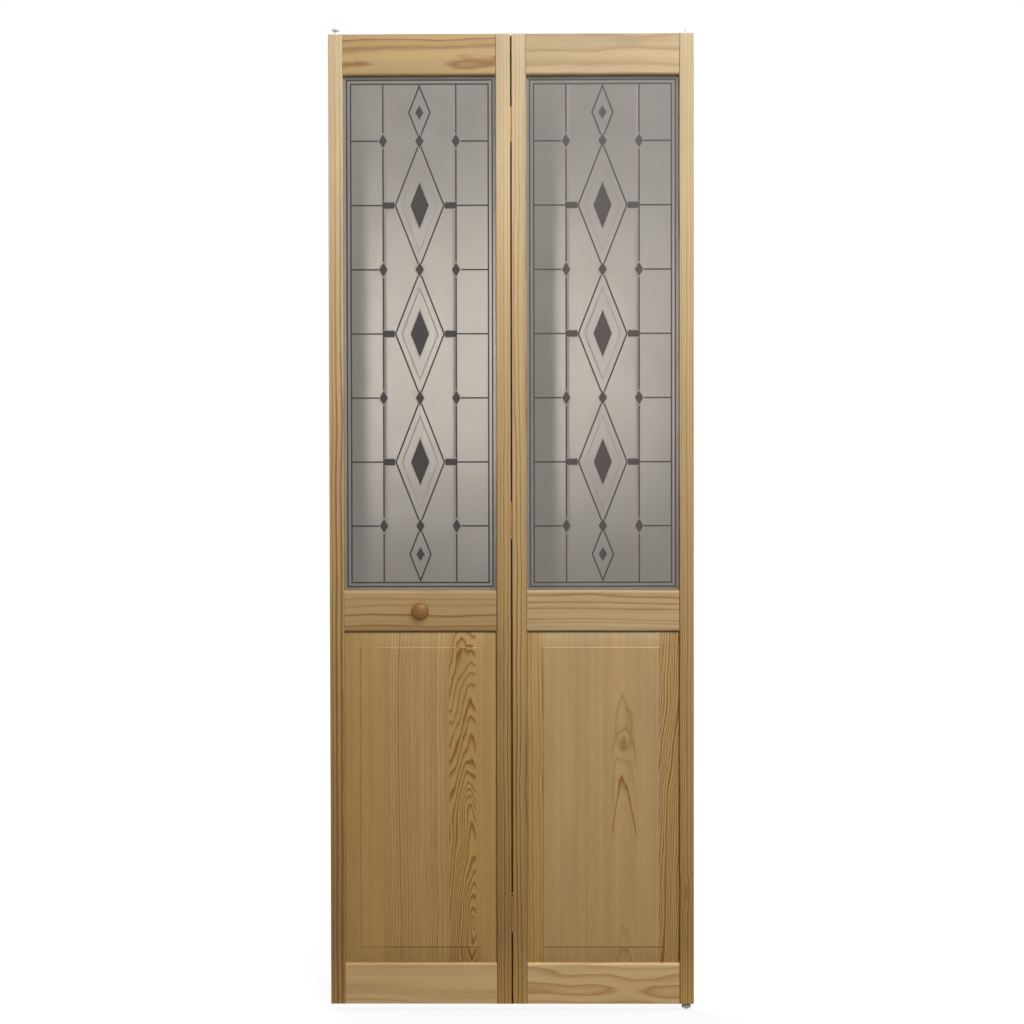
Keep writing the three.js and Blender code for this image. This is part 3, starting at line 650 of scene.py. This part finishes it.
def stage_card(name, left, right, profile, material):
    """A stage card that faces the room. profile gives its depth and height from foot to top."""
    mesh = bpy.data.meshes.new(name)
    corners = [(x, depth, height) for depth, height in profile for x in (left, right)]
    faces = [(i, i + 1, i + 3, i + 2) for i in range(0, len(corners) - 2, 2)]
    mesh.from_pydata(corners, [], faces)
    mesh.materials.append(material)
    card = bpy.data.objects.new(name, mesh)
    bpy.context.scene.collection.objects.link(card)
    return card


def show_only_to(card, *rays):
    for name in ("camera", "diffuse", "glossy", "transmission", "volume_scatter", "shadow"):
        setattr(card, "visible_" + name, name in rays)


def make_flags():
    """A narrow card behind the left edge of each pane that holds back the glow, and is otherwise as
    white as the background."""
    made, _, shader = new_material("flag")
    shader.inputs["Base Color"].default_value = BLACK
    shader.inputs["Specular IOR Level"].default_value = 0.0
    shader.inputs["Emission Color"].default_value = WHITE
    shader.inputs["Emission Strength"].default_value = 1.0
    shadowless = [name for name, *_ in (*LAMPS, CARD_LAMP) if name != "glow"]
    for leaf, width in FLAG_WIDTHS.items():
        low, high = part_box(leaf + "_glass")
        profile = [(high.y + FLAG_GAP, height) for height in (low.z, high.z)]
        card = stage_card(leaf + "_flag", low.x, low.x + width, profile, made)
        show_only_to(card, "transmission", "shadow")
        keep_out_of_shadow(card, *shadowless)


def gap_shade_tone():
    """Painted shade from the room side, and clear from behind."""
    made, tree, shader = new_material("gap_card")
    shader.inputs["Base Color"].default_value = CARD_SHADE_TONE
    shader.inputs["Specular IOR Level"].default_value = 0.0
    behind = add(tree, "ShaderNodeNewGeometry").outputs["Backfacing"]
    clear = add(tree, "ShaderNodeBsdfTransparent").outputs[0]
    sides = {0: behind, 1: shader.outputs[0], 2: clear}
    both = add(tree, "ShaderNodeMixShader", sides).outputs[0]
    tree.links.new(both, tree.nodes["Material Output"].inputs["Surface"])
    return made


def make_gap_card():
    """A slim dark card, a sheet of painted shade, that fills the gap between the leaves as the camera
    sees it, and is seen from the room side only. Above the top hinge it leans against the leaves, so
    that it hardly shows over them. It is dark behind the closed door, and a lamp of its own turns it
    white where no leaf stands before it."""
    low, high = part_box("lead_hinge_stile")
    middle = (high.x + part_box("pivot_hinge_stile")[0].x) / 2
    left, right = middle - CARD_WIDTH / 2, middle + CARD_WIDTH / 2
    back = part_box("middle_hinge_pin")[1].y + CARD_GAP
    foot = low.z + (low.z - CAMERA_Z) * (back - low.y) / CAMERA_DISTANCE
    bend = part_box("top_hinge_pin")[1].z + CARD_GAP
    profile = [(back, foot), (back, bend), (high.y + CARD_TOUCH, high.z + CARD_PEEP)]
    card = stage_card("gap_card", left, right, profile, gap_shade_tone())
    show_only_to(card, "camera", "glossy")
    only = bpy.data.collections.new("gap_card_only")
    only.objects.link(card)
    area_lamp(*CARD_LAMP).light_linking.receiver_collection = only


# Mesh work
WELD = 0.00001
FLAT_ANGLE = math.radians(0.5)
SHARP_ANGLE = math.radians(28)
SMOOTH_ANGLE = math.radians(35)
ROUND_PROFILE = 0.5
CREASE = 0.75


def form_of(node):
    """The mesh of a CAD node, with corners merged and flat faces joined."""
    form = bmesh.new()
    form.from_mesh(frame["nodes"][node].data)
    bmesh.ops.remove_doubles(form, verts=form.verts, dist=WELD)
    bmesh.ops.dissolve_limit(form, angle_limit=FLAT_ANGLE, verts=form.verts, edges=form.edges)
    return form


def ease(form, radius, shortest, steps=2):
    """Rounds the outward edges that are longer than shortest."""
    edges = [
        edge for edge in form.edges
        if edge.is_manifold and edge.is_convex
        and edge.calc_face_angle() > SHARP_ANGLE and edge.calc_length() > shortest
    ]
    bmesh.ops.bevel(
        form, geom=edges, offset=radius, offset_type="OFFSET", segments=steps,
        profile=ROUND_PROFILE, affect="EDGES", clamp_overlap=True,
    )


def crease(form):
    layer = form.edges.layers.float.new("crease_edge")
    for edge in form.edges:
        if edge.is_manifold and edge.calc_face_angle() > SHARP_ANGLE:
            edge[layer] = CREASE


def piece(name, form, body, materials, nodes=(), even=False, rounds=0):
    """A piece from a form. even keeps flat faces flat beside rounded edges, rounds subdivides."""
    mesh = bpy.data.meshes.new(name)
    form.to_mesh(mesh)
    form.free()
    for material in materials:
        mesh.materials.append(material)
    mesh.shade_smooth()
    mesh.set_sharp_from_angle(angle=SMOOTH_ANGLE)
    made = bpy.data.objects.new(name, mesh)
    bpy.context.scene.collection.objects.link(made)
    if even:
        normals = made.modifiers.new("even", "WEIGHTED_NORMAL")
        normals.keep_sharp = True
    if rounds:
        finer = made.modifiers.new("finer", "SUBSURF")
        finer.levels = rounds
        finer.render_levels = rounds
    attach(made, body)
    if nodes:
        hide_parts(*nodes)
    return made


def body_of(node):
    return frame["nodes"][node]["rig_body"]


def middle_of(node):
    low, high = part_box(node)
    return (low + high) / 2


def stile_boxes(leaf):
    """The boxes of a leaf's two stiles, from left to right."""
    boxes = [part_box(f"{leaf}_{side}_stile") for side in ("outer", "hinge")]
    return sorted(boxes, key=lambda ends: ends[0].x)


# Boards
ARRIS = 0.0007
ARRIS_SHORTEST = 0.006
STOP_ARRIS = 0.0004
JOINT_REACH = 0.0004
JOINT_LEFT = 0.00002

# Painted shade in the moulding below a lock rail, where a panel enters its frame and along a field's
# # steps. Millimetres.
MOULDING_SHADE = 0.85
MOULDING_HEIGHT = 8.0
MOULDING_FULL_HEIGHT = 4.0
MOULDING_START = 0.8
MOULDING_FULL = 3.5
PANEL_TOP_SHADE = 0.6
PANEL_SIDE_SHADE = 0.35
PANEL_START = 2.4
PANEL_FULL = 1.2
FIELD_SHADE = 0.2
FIELD_LINE = 1.4
FIELD_SOFTNESS = 0.5
FIELD_FLATNESS = 0.0002

# Painted light at a stile's foot and painted shade at its head. Millimetres.
FOOT_LIGHT = 0.6
FOOT_HEIGHT = 130
HEAD_SHADE = 0.16
HEAD_START = 260
HEAD_FULL = 50

BOARDS = {
    "lead_outer_stile": dict(
        pith=(-78, 30), ring=7.5, wander=9, contrast=1.5, seed=3.1, sparse=0.35, soft=0.8, gold=0.52,
        painted_top_light=0.46,
    ),
    "lead_hinge_stile": dict(
        pith=(64, 26), ring=4.6, wander=7, contrast=1.8, seed=8.4, gold=0.6, tone=0.98, painted_top_light=0.4,
    ),
    "lead_top_rail": dict(
        grain="X", pith=(-18, 46), ring=11, wander=26, contrast=1.2, seed=12.7, gold=0.62, tone=0.92,
    ),
    "lead_lock_rail": dict(
        grain="X", pith=(-60, 20), ring=16, wander=24, contrast=1.1, seed=21.9, sparse=0.2, soft=0.45,
        gold=0.55, tone=0.95,
    ),
    # Its high tone is painted light, standing in for light thrown up from the floor
    "lead_bottom_rail": dict(
        grain="X", pith=(12, 60), ring=12, wander=18, contrast=0.7, seed=5.3, gold=0.5, tone=1.3,
    ),
    "pivot_outer_stile": dict(
        pith=(80, 34), ring=5.5, wander=8, contrast=1.5, seed=14.2, knot=(1, -765, 6), gold=0.55,
        painted_top_light=0.28,
    ),
    "pivot_hinge_stile": dict(
        pith=(-58, 40), ring=6.0, wander=14, contrast=1.4, seed=17.6, gold=0.55, painted_top_light=0.34,
    ),
    "pivot_top_rail": dict(
        grain="X", pith=(26, 52), ring=12, wander=16, contrast=0.8, seed=31.5, gold=0.22, tone=1.02,
    ),
    "pivot_lock_rail": dict(
        grain="X", pith=(60, 48), ring=9, wander=14, contrast=1.0, seed=27.8, gold=0.38, tone=1.07,
    ),
    # Its high tone is painted light, standing in for light thrown up from the floor
    "pivot_bottom_rail": dict(
        grain="X", pith=(-14, 42), ring=14, wander=44, contrast=0.9, seed=41.2, soft=0.5, gold=0.42,
        tone=1.52,
    ),
}

# Staves of the panels: where each ends, from the panel's middle, and its grain
TO_EDGE = 1.0
LEAD_STAVES = (
    (-0.0694, dict(
        pith=(-320, 20), ring=4.6, wander=12, contrast=0.4, seed=1.7, gold=1.0, tone=0.85, painted_top_light=0.2,
    )),
    (0.0586, dict(
        pith=(-190, 34), ring=4.8, wander=18, contrast=1.0, seed=6.2, gold=0.85, tone=0.93, painted_top_light=0.15,
    )),
    (0.1133, dict(
        pith=(99, 32), lean=(0, 0.12, 0), ring=4.1, wander=52, contrast=2.6, seed=9.9, sparse=0.25,
        gold=1.0, tone=0.96, painted_top_light=0.15,
    )),
    (TO_EDGE, dict(
        pith=(420, 30), ring=4.2, wander=9, contrast=0.5, seed=11.3, gold=0.95, tone=0.88, painted_top_light=0.15,
    )),
)
PIVOT_STAVES = (
    (-0.1234, dict(
        pith=(-60, 60), ring=5.0, wander=16, contrast=0.9, seed=19.1, gold=0.9, tone=0.98, painted_top_light=0.15,
    )),
    (0.018, dict(
        pith=(-330, 30), ring=4.8, wander=12, contrast=0.3, seed=22.4, gold=0.65, tone=0.96, painted_top_light=0.15,
    )),
    (0.068, dict(
        pith=(43, 70), lean=(0, 0.035, 0), ring=2.6, wander=14, contrast=1.3, seed=27.3, sparse=3.0,
        knot=(42, 113, 7), gold=0.7, tone=0.98, painted_top_light=0.15,
    )),
    (0.1146, dict(pith=(360, 40), ring=4.4, wander=9, contrast=0.5, seed=29.2, gold=0.6, painted_top_light=0.15)),
    (TO_EDGE, dict(
        pith=(10, 36), lean=(0.06, 0, 0), ring=4.6, wander=40, contrast=2.5, seed=33.8, sparse=0.3,
        gold=0.82, painted_top_light=0.15,
    )),
)

# Glazing stops: the way each one's grain runs, and the grain
STOP_WAYS = {"top": "X", "bottom": "X", "outer": "Z", "hinge": "Z"}
STOP_GRAIN = dict(pith=(50, -40), ring=3.5, wander=5, contrast=0.4)
STOP_SEEDS = {"lead": 54.0, "pivot": 55.0}
STOP_SEED_STEP = 3


def close_joints(form, leaf):
    """Moves the shoulders of a rail up to the stiles, so that no light shows through the joint."""
    left, right = stile_boxes(leaf)
    for edge, way in ((left[1].x, 1), (right[0].x, -1)):
        for vert in form.verts:
            if 0 < (vert.co.x - edge) * way < JOINT_REACH:
                vert.co.x = edge + way * JOINT_LEFT


# Painted shade in the lower round of a lock rail's moulding
def moulding_shade(node):
    low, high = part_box(node)
    _, deep, tall = (high - low) / MM / 2
    height = (0, MOULDING_HEIGHT - tall, MOULDING_FULL_HEIGHT - tall)
    depth = (1, MOULDING_START - deep, MOULDING_FULL - deep)
    return ((MOULDING_SHADE, (height, depth)),)


def field_shade(form, middle):
    """Fine lines of painted shade along the step at the left and lower edge of the raised field."""
    front = min(vert.co.y for vert in form.verts) + FIELD_FLATNESS
    flat = [(vert.co - middle) / MM for vert in form.verts if vert.co.y < front]
    ends = {}
    for axis in (0, 2):
        places = [point[axis] for point in flat]
        ends[axis] = (min(places), max(places))
    pools = []
    for along, across in ((0, 2), (2, 0)):
        near = ends[along][0]
        low, high = ends[across]
        pools.append((FIELD_SHADE, (
            (along, near - FIELD_LINE - FIELD_SOFTNESS, near - FIELD_LINE),
            (along, near + FIELD_SOFTNESS, near),
            (across, low - FIELD_LINE, low),
            (across, high + FIELD_LINE, high),
        )))
    return pools


# Painted shade along a panel's top below the lock rail and along its right side
def panel_shade(leaf, middle):
    top = (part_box(leaf + "_lock_rail")[0].z - middle.z) / MM
    side = (stile_boxes(leaf)[1][0].x - middle.x) / MM
    return (
        (PANEL_TOP_SHADE, ((2, top - PANEL_START, top - PANEL_FULL),)),
        (PANEL_SIDE_SHADE, ((0, side - PANEL_START, side - PANEL_FULL),)),
    )


def stile_light_and_shade(node):
    """Painted light at the foot, as a pool of negative darkness, and painted shade at the head."""
    foot, head = ((corner.z - middle_of(node).z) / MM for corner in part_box(node))
    return (
        (-FOOT_LIGHT, ((2, foot + FOOT_HEIGHT, foot),)),
        (HEAD_SHADE, ((2, head - HEAD_START, head - HEAD_FULL),)),
    )


def painted_pools_of(node):
    if node.endswith("_lock_rail"):
        return moulding_shade(node)
    return stile_light_and_shade(node) if node.endswith("_stile") else ()


def board(node, radius=ARRIS, **grain):
    form = form_of(node)
    if node.endswith("_rail"):
        close_joints(form, node.split("_")[0])
    ease(form, radius, ARRIS_SHORTEST)
    wood = pine(node, middle_of(node), pools=painted_pools_of(node), **grain)
    piece(node + "_board", form, body_of(node), [wood], [node], even=True)


def make_panel(leaf, staves):
    """A panel glued up from staves, each with its own grain."""
    node = leaf + "_panel"
    middle = middle_of(node)
    form = form_of(node)
    pools = (*panel_shade(leaf, middle), *field_shade(form, middle))
    woods = []
    for number, (end, grain) in enumerate(staves):
        woods.append(pine(f"{node}_stave_{number + 1}", middle, pools=pools, **grain))
        if end < TO_EDGE:
            everything = [*form.verts, *form.edges, *form.faces]
            cut = (middle.x + end, 0, 0)
            bmesh.ops.bisect_plane(form, geom=everything, plane_co=cut, plane_no=X_AXIS)
    for face in form.faces:
        across = face.calc_center_median().x - middle.x
        face.material_index = next(i for i, (end, _) in enumerate(staves) if across < end)
    piece(node + "_staves", form, body_of(node), woods, [node], even=True)


def make_boards():
    for node, grain in BOARDS.items():
        board(node, **grain)
    make_panel("lead", LEAD_STAVES)
    make_panel("pivot", PIVOT_STAVES)
    for leaf in LEAVES:
        for number, (side, way) in enumerate(STOP_WAYS.items()):
            seed = STOP_SEEDS[leaf] + STOP_SEED_STEP * number
            board(f"{leaf}_stop_{side}", STOP_ARRIS, grain=way, seed=seed, **STOP_GRAIN)


# Glass and its leaded design
LINE_THICK = 0.00025
LINE_GAP = 0.00004
LINE_STEP = 0.00003
LINE_WIDTH = 0.0031
PALE_WIDTH = 0.005
HALO = 0.0016
BAR_WIDTH = 0.013
BORDER_INSETS = (0.007, 0.0152)
DARK, PALE = 0, 1


class Design:
    """Flat strips and blocks on the front of a pane, measured from the light's lower left corner."""

    def __init__(self, leaf):
        self.form = bmesh.new()
        left, right = stile_boxes(leaf)
        self.left = left[1].x
        self.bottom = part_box(leaf + "_lock_rail")[1].z
        self.width = right[0].x - self.left
        self.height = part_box(leaf + "_top_rail")[0].z - self.bottom
        self.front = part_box(leaf + "_glass")[0].y - LINE_GAP

    def area(self, points, level, material=DARK):
        """A closed outline as a thin plate. A higher level stands a trace prouder."""
        near = self.front - LINE_THICK - level * LINE_STEP
        loops = []
        for y in (near, self.front):
            corners = [(self.left + a, y, self.bottom + b) for a, b in points]
            loops.append([self.form.verts.new(corner) for corner in corners])
        faces = [self.form.faces.new(loops[0]), self.form.faces.new(loops[1][::-1])]
        for i, corner in enumerate(loops[0]):
            j = (i + 1) % len(points)
            faces.append(self.form.faces.new((corner, loops[1][i], loops[1][j], loops[0][j])))
        for face in faces:
            face.material_index = material

    def line(self, start, end, level, width=LINE_WIDTH, material=DARK):
        run = Vector((end[0] - start[0], end[1] - start[1]))
        side = Vector((-run.y, run.x)).normalized() * width / 2
        first, last = Vector(start), Vector(end)
        self.area([first - side, last - side, last + side, first + side], level, material)

    def corners(self, inset):
        right, top = self.width - inset, self.height - inset
        return [(inset, inset), (right, inset), (right, top), (inset, top)]

    def border(self, inset, level):
        """A mitred frame at an inset from the light's edge."""
        outer = self.corners(inset - LINE_WIDTH / 2)
        inner = self.corners(inset + LINE_WIDTH / 2)
        for i in range(4):
            j = (i + 1) % 4
            self.area([outer[i], outer[j], inner[j], inner[i]], level)

    def lozenge(self, a, b, half_width, half_height, level, material=DARK):
        tips = [(a, b - half_height), (a + half_width, b), (a, b + half_height), (a - half_width, b)]
        self.area(tips, level, material)

    def gem(self, a, b, half_width, half_height, level):
        """A dark lozenge with a pale rim."""
        rim = HALO * math.hypot(half_width, half_height) / half_width
        rim_width = half_width + rim * half_width / half_height
        self.lozenge(a, b, rim_width, half_height + rim, level - 1, PALE)
        self.lozenge(a, b, half_width, half_height, level)

    def ring(self, a, b, half_width, half_height, level, width=LINE_WIDTH, material=DARK):
        """An outlined lozenge, as four mitred strips."""
        tips = [(0, -half_height), (half_width, 0), (0, half_height), (-half_width, 0)]
        slant = math.hypot(half_width, half_height)
        inner = 1 - width * slant / (half_width * half_height)
        for i, tip in enumerate(tips):
            after = tips[(i + 1) % len(tips)]
            corners = (tip, after, [inner * value for value in after], [inner * value for value in tip])
            self.area([(a + x, b + z) for x, z in corners], level, material)

    def bar(self, start, end, level):
        """A broad dark bar with a pale rim."""
        self.line(start, end, level - 1, BAR_WIDTH + 2 * HALO, PALE)
        self.line(start, end, level, BAR_WIDTH)


ROW_SHARES = (0.125, 0.375, 0.625, 0.875)
BETWEEN_SHARES = (0.25, 0.5, 0.75)
COLUMN_SHARE = 0.235
LOZENGE_HEIGHT_SHARE = 0.125
LOZENGE_WIDTH_SHARE = 0.165
END_LOZENGE_SHARE = 0.45
INNER_RING_SHARE = 0.74
CORE_SHARE = 0.36
GEM_WIDTH = 0.0085
GEM_HEIGHT = 0.0145

# Levels of the design, from the glass up. Each bar and gem has a pale rim on the level below it.
STRIP_LEVEL, BORDER_LEVEL, COLUMN_LEVEL, RUNG_LEVEL, RING_LEVEL, INNER_RING_LEVEL = range(6)
BAR_LEVEL = 7
GEM_LEVEL = 9
MIDDLE_GEM_LEVEL = 11


def draw_side(design, side, inner, half_width):
    """A column with a pale strip, its rungs and gems, and the bars that lead to the lozenges."""
    width, height = design.width, design.height
    middle = width / 2
    column = inner + COLUMN_SHARE * (width - 2 * inner)
    a = middle + side * (middle - column)
    edge = middle + side * (middle - inner)
    strip = a - side * (LINE_WIDTH + PALE_WIDTH) / 2
    foot, head = inner + LINE_WIDTH, height - inner - LINE_WIDTH
    design.line((a, inner), (a, height - inner), COLUMN_LEVEL)
    design.line((strip, foot), (strip, head), STRIP_LEVEL, PALE_WIDTH, PALE)
    for share in (*ROW_SHARES, *BETWEEN_SHARES):
        design.line((a, height * share), (edge, height * share), RUNG_LEVEL)
    for share in ROW_SHARES:
        design.gem(a, height * share, GEM_WIDTH, GEM_HEIGHT, GEM_LEVEL)
    for share in BETWEEN_SHARES:
        design.bar((middle + side * half_width, height * share), (a, height * share), BAR_LEVEL)


def draw_design(design):
    """A traditional leaded light: a double border, side lights and a chain of lozenges."""
    width, height = design.width, design.height
    middle = width / 2
    half_height = height * LOZENGE_HEIGHT_SHARE
    half_width = width * LOZENGE_WIDTH_SHARE
    for inset in BORDER_INSETS:
        design.border(inset, BORDER_LEVEL)
    inner = BORDER_INSETS[-1]
    for side in (-1, 1):
        draw_side(design, side, inner, half_width)
    for share in BETWEEN_SHARES:
        b = height * share
        inside = (half_width * INNER_RING_SHARE, half_height * INNER_RING_SHARE)
        design.ring(middle, b, half_width, half_height, RING_LEVEL)
        design.ring(middle, b, *inside, INNER_RING_LEVEL, PALE_WIDTH / 2, PALE)
        design.gem(middle, b, half_width * CORE_SHARE, half_height * CORE_SHARE, GEM_LEVEL)
    end_gap = (height * ROW_SHARES[0] - inner) / 2
    for b in (inner + end_gap, height - inner - end_gap):
        design.ring(middle, b, half_width * END_LOZENGE_SHARE, end_gap, RING_LEVEL)
        design.gem(middle, b, GEM_WIDTH, GEM_HEIGHT, GEM_LEVEL)
    for share in ROW_SHARES:
        design.gem(middle, height * share, GEM_WIDTH, GEM_HEIGHT, MIDDLE_GEM_LEVEL)


def make_glass(leaf, glass, dark, pale):
    node = leaf + "_glass"
    form = form_of(node)
    ease(form, STOP_ARRIS, ARRIS_SHORTEST)
    piece(node + "_pane", form, body_of(node), [glass], [node], even=True)
    design = Design(leaf)
    draw_design(design)
    piece(node + "_lines", design.form, body_of(node), [dark, pale])


# Small parts
KNOB_COLOURS = (srgb(160, 115, 50), srgb(124, 80, 26))
KNOB_GRAIN = dict(pith=(30, 26), ring=3.2, wander=6, contrast=0.5, seed=61.0, colours=KNOB_COLOURS)
RECESS_REACH = 0.56
RECESS_WIDTH = 0.13
RECESS_DEPTH = 0.0013
RECESS_TAPER = 0.45
RECESS_LIFT = 0.0002
SCREW_ROUNDS = 2
SCREW_WAYS = {"lead": (1, 0, 0), "pivot": (-1, 0, 0)}
PLATE_ARRIS = 0.00025
WHEEL_ARRIS = 0.0004
SOFT_SHORTEST = 0.0008


def rounded(node, material, rounds=2):
    """A turned or wound part with its facets smoothed."""
    form = form_of(node)
    crease(form)
    return piece(node + "_smooth", form, body_of(node), [material], [node], rounds=rounds)


def softened(node, material, radius):
    form = form_of(node)
    ease(form, radius, SOFT_SHORTEST)
    piece(node + "_eased", form, body_of(node), [material], [node], even=True)


def object_of(form, name):
    mesh = bpy.data.meshes.new(name)
    form.to_mesh(mesh)
    form.free()
    made = bpy.data.objects.new(name, mesh)
    bpy.context.scene.collection.objects.link(made)
    return made


def cross_cutter(place, outward, radius):
    """A tapered cross that cuts a driver's recess into a screw head."""
    reach, width = radius * RECESS_REACH, radius * RECESS_WIDTH
    quarter = [(reach, -width), (reach, width), (width, width)]
    turns = [Matrix.Rotation(turn * QUARTER_TURN, 2) for turn in range(4)]
    outline = [turn @ Vector(point) for turn in turns for point in quarter]
    frame_of = Matrix.Translation(place) @ outward.to_track_quat("Z", "Y").to_matrix().to_4x4()
    form = bmesh.new()
    loops = []
    for height, share in ((-RECESS_DEPTH, RECESS_TAPER), (RECESS_LIFT, 1)):
        corners = [frame_of @ Vector((*(point * share), height)) for point in outline]
        loops.append([form.verts.new(corner) for corner in corners])
    form.faces.new(loops[0][::-1])
    form.faces.new(loops[1])
    for i, low in enumerate(loops[0]):
        j = (i + 1) % len(outline)
        form.faces.new((low, loops[0][j], loops[1][j], loops[1][i]))
    return form


def screw(node, material, outward):
    """A screw with a smooth head and a cross recess. outward points away from the head."""
    low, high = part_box(node)
    outward = Vector(outward)
    size = high - low
    radius = min(value for value, along in zip(size, outward) if not along) / 2
    place = (low + high) / 2 + outward * abs(size.dot(outward)) / 2
    form = form_of(node)
    crease(form)
    shank = object_of(form, "shank")
    cutter = object_of(cross_cutter(place, outward, radius), "cutter")
    finer = shank.modifiers.new("finer", "SUBSURF")
    finer.levels = SCREW_ROUNDS
    cut = shank.modifiers.new("cut", "BOOLEAN")
    cut.object = cutter
    cut.solver = "EXACT"
    seen = shank.evaluated_get(bpy.context.evaluated_depsgraph_get())
    form = bmesh.new()
    form.from_mesh(seen.to_mesh())
    seen.to_mesh_clear()
    for spare in (shank, cutter):
        bpy.data.objects.remove(spare)
    piece(node + "_driven", form, body_of(node), [material], [node], even=True)


def spring(node, material):
    """A wound spring, smoothed, with a mesh of its own. The real spring shortens towards its foot as
    its pin is pressed down.
    """
    made = rounded(node, material, rounds=1)
    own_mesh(made)


def make_small_parts():
    brass = brushed_metal("gold_brass", BRASS_TONES, BRASS_ROUGHNESS, BRASS_BRUSHING)
    steel = brushed_metal("zinc_steel", STEEL_TONES, STEEL_ROUGHNESS, STEEL_BRUSHING)
    plastic = nylon()
    knob_wood = pine("knob_pine", middle_of("knob"), **KNOB_GRAIN)
    keep_out_of_shadow(rounded("knob", knob_wood), "key")
    screw("knob_screw", steel, (0, 1, 0))
    for hinge in ("bottom_hinge", "middle_hinge", "top_hinge"):
        for side, outward in SCREW_WAYS.items():
            softened(f"{hinge}_{side}_plate", brass, PLATE_ARRIS)
            for place in ("upper", "lower"):
                screw(f"{hinge}_{side}_screw_{place}", brass, outward)
        rounded(f"{hinge}_pin", brass)
    rounded("bottom_pivot_pin", steel, rounds=1)
    spring("top_pivot_spring", steel)
    spring("guide_spring", steel)
    rounded("top_pivot_pin", plastic)
    rounded("guide_pin", plastic)
    softened("bottom_pivot_wheel", plastic, WHEEL_ARRIS)
    for node in ("bottom_pivot_sleeve", "top_pivot_sleeve", "guide_sleeve", "guide_wheel"):
        rounded(node, plastic)


make_camera()
make_world()
make_floor()
make_lamps()
make_gap_card()
make_flags()
grain_group()
make_boards()
glass = frosted_glass()
pale_line = line_paint("pale_line", PALE_LINE)
make_glass("lead", glass, line_paint("dark_line", DARK_LINE), pale_line)
make_glass("pivot", glass, line_paint("faded_line", FADED_LINE), pale_line)
make_small_parts()

bpy.context.scene.view_settings.view_transform = "Standard"
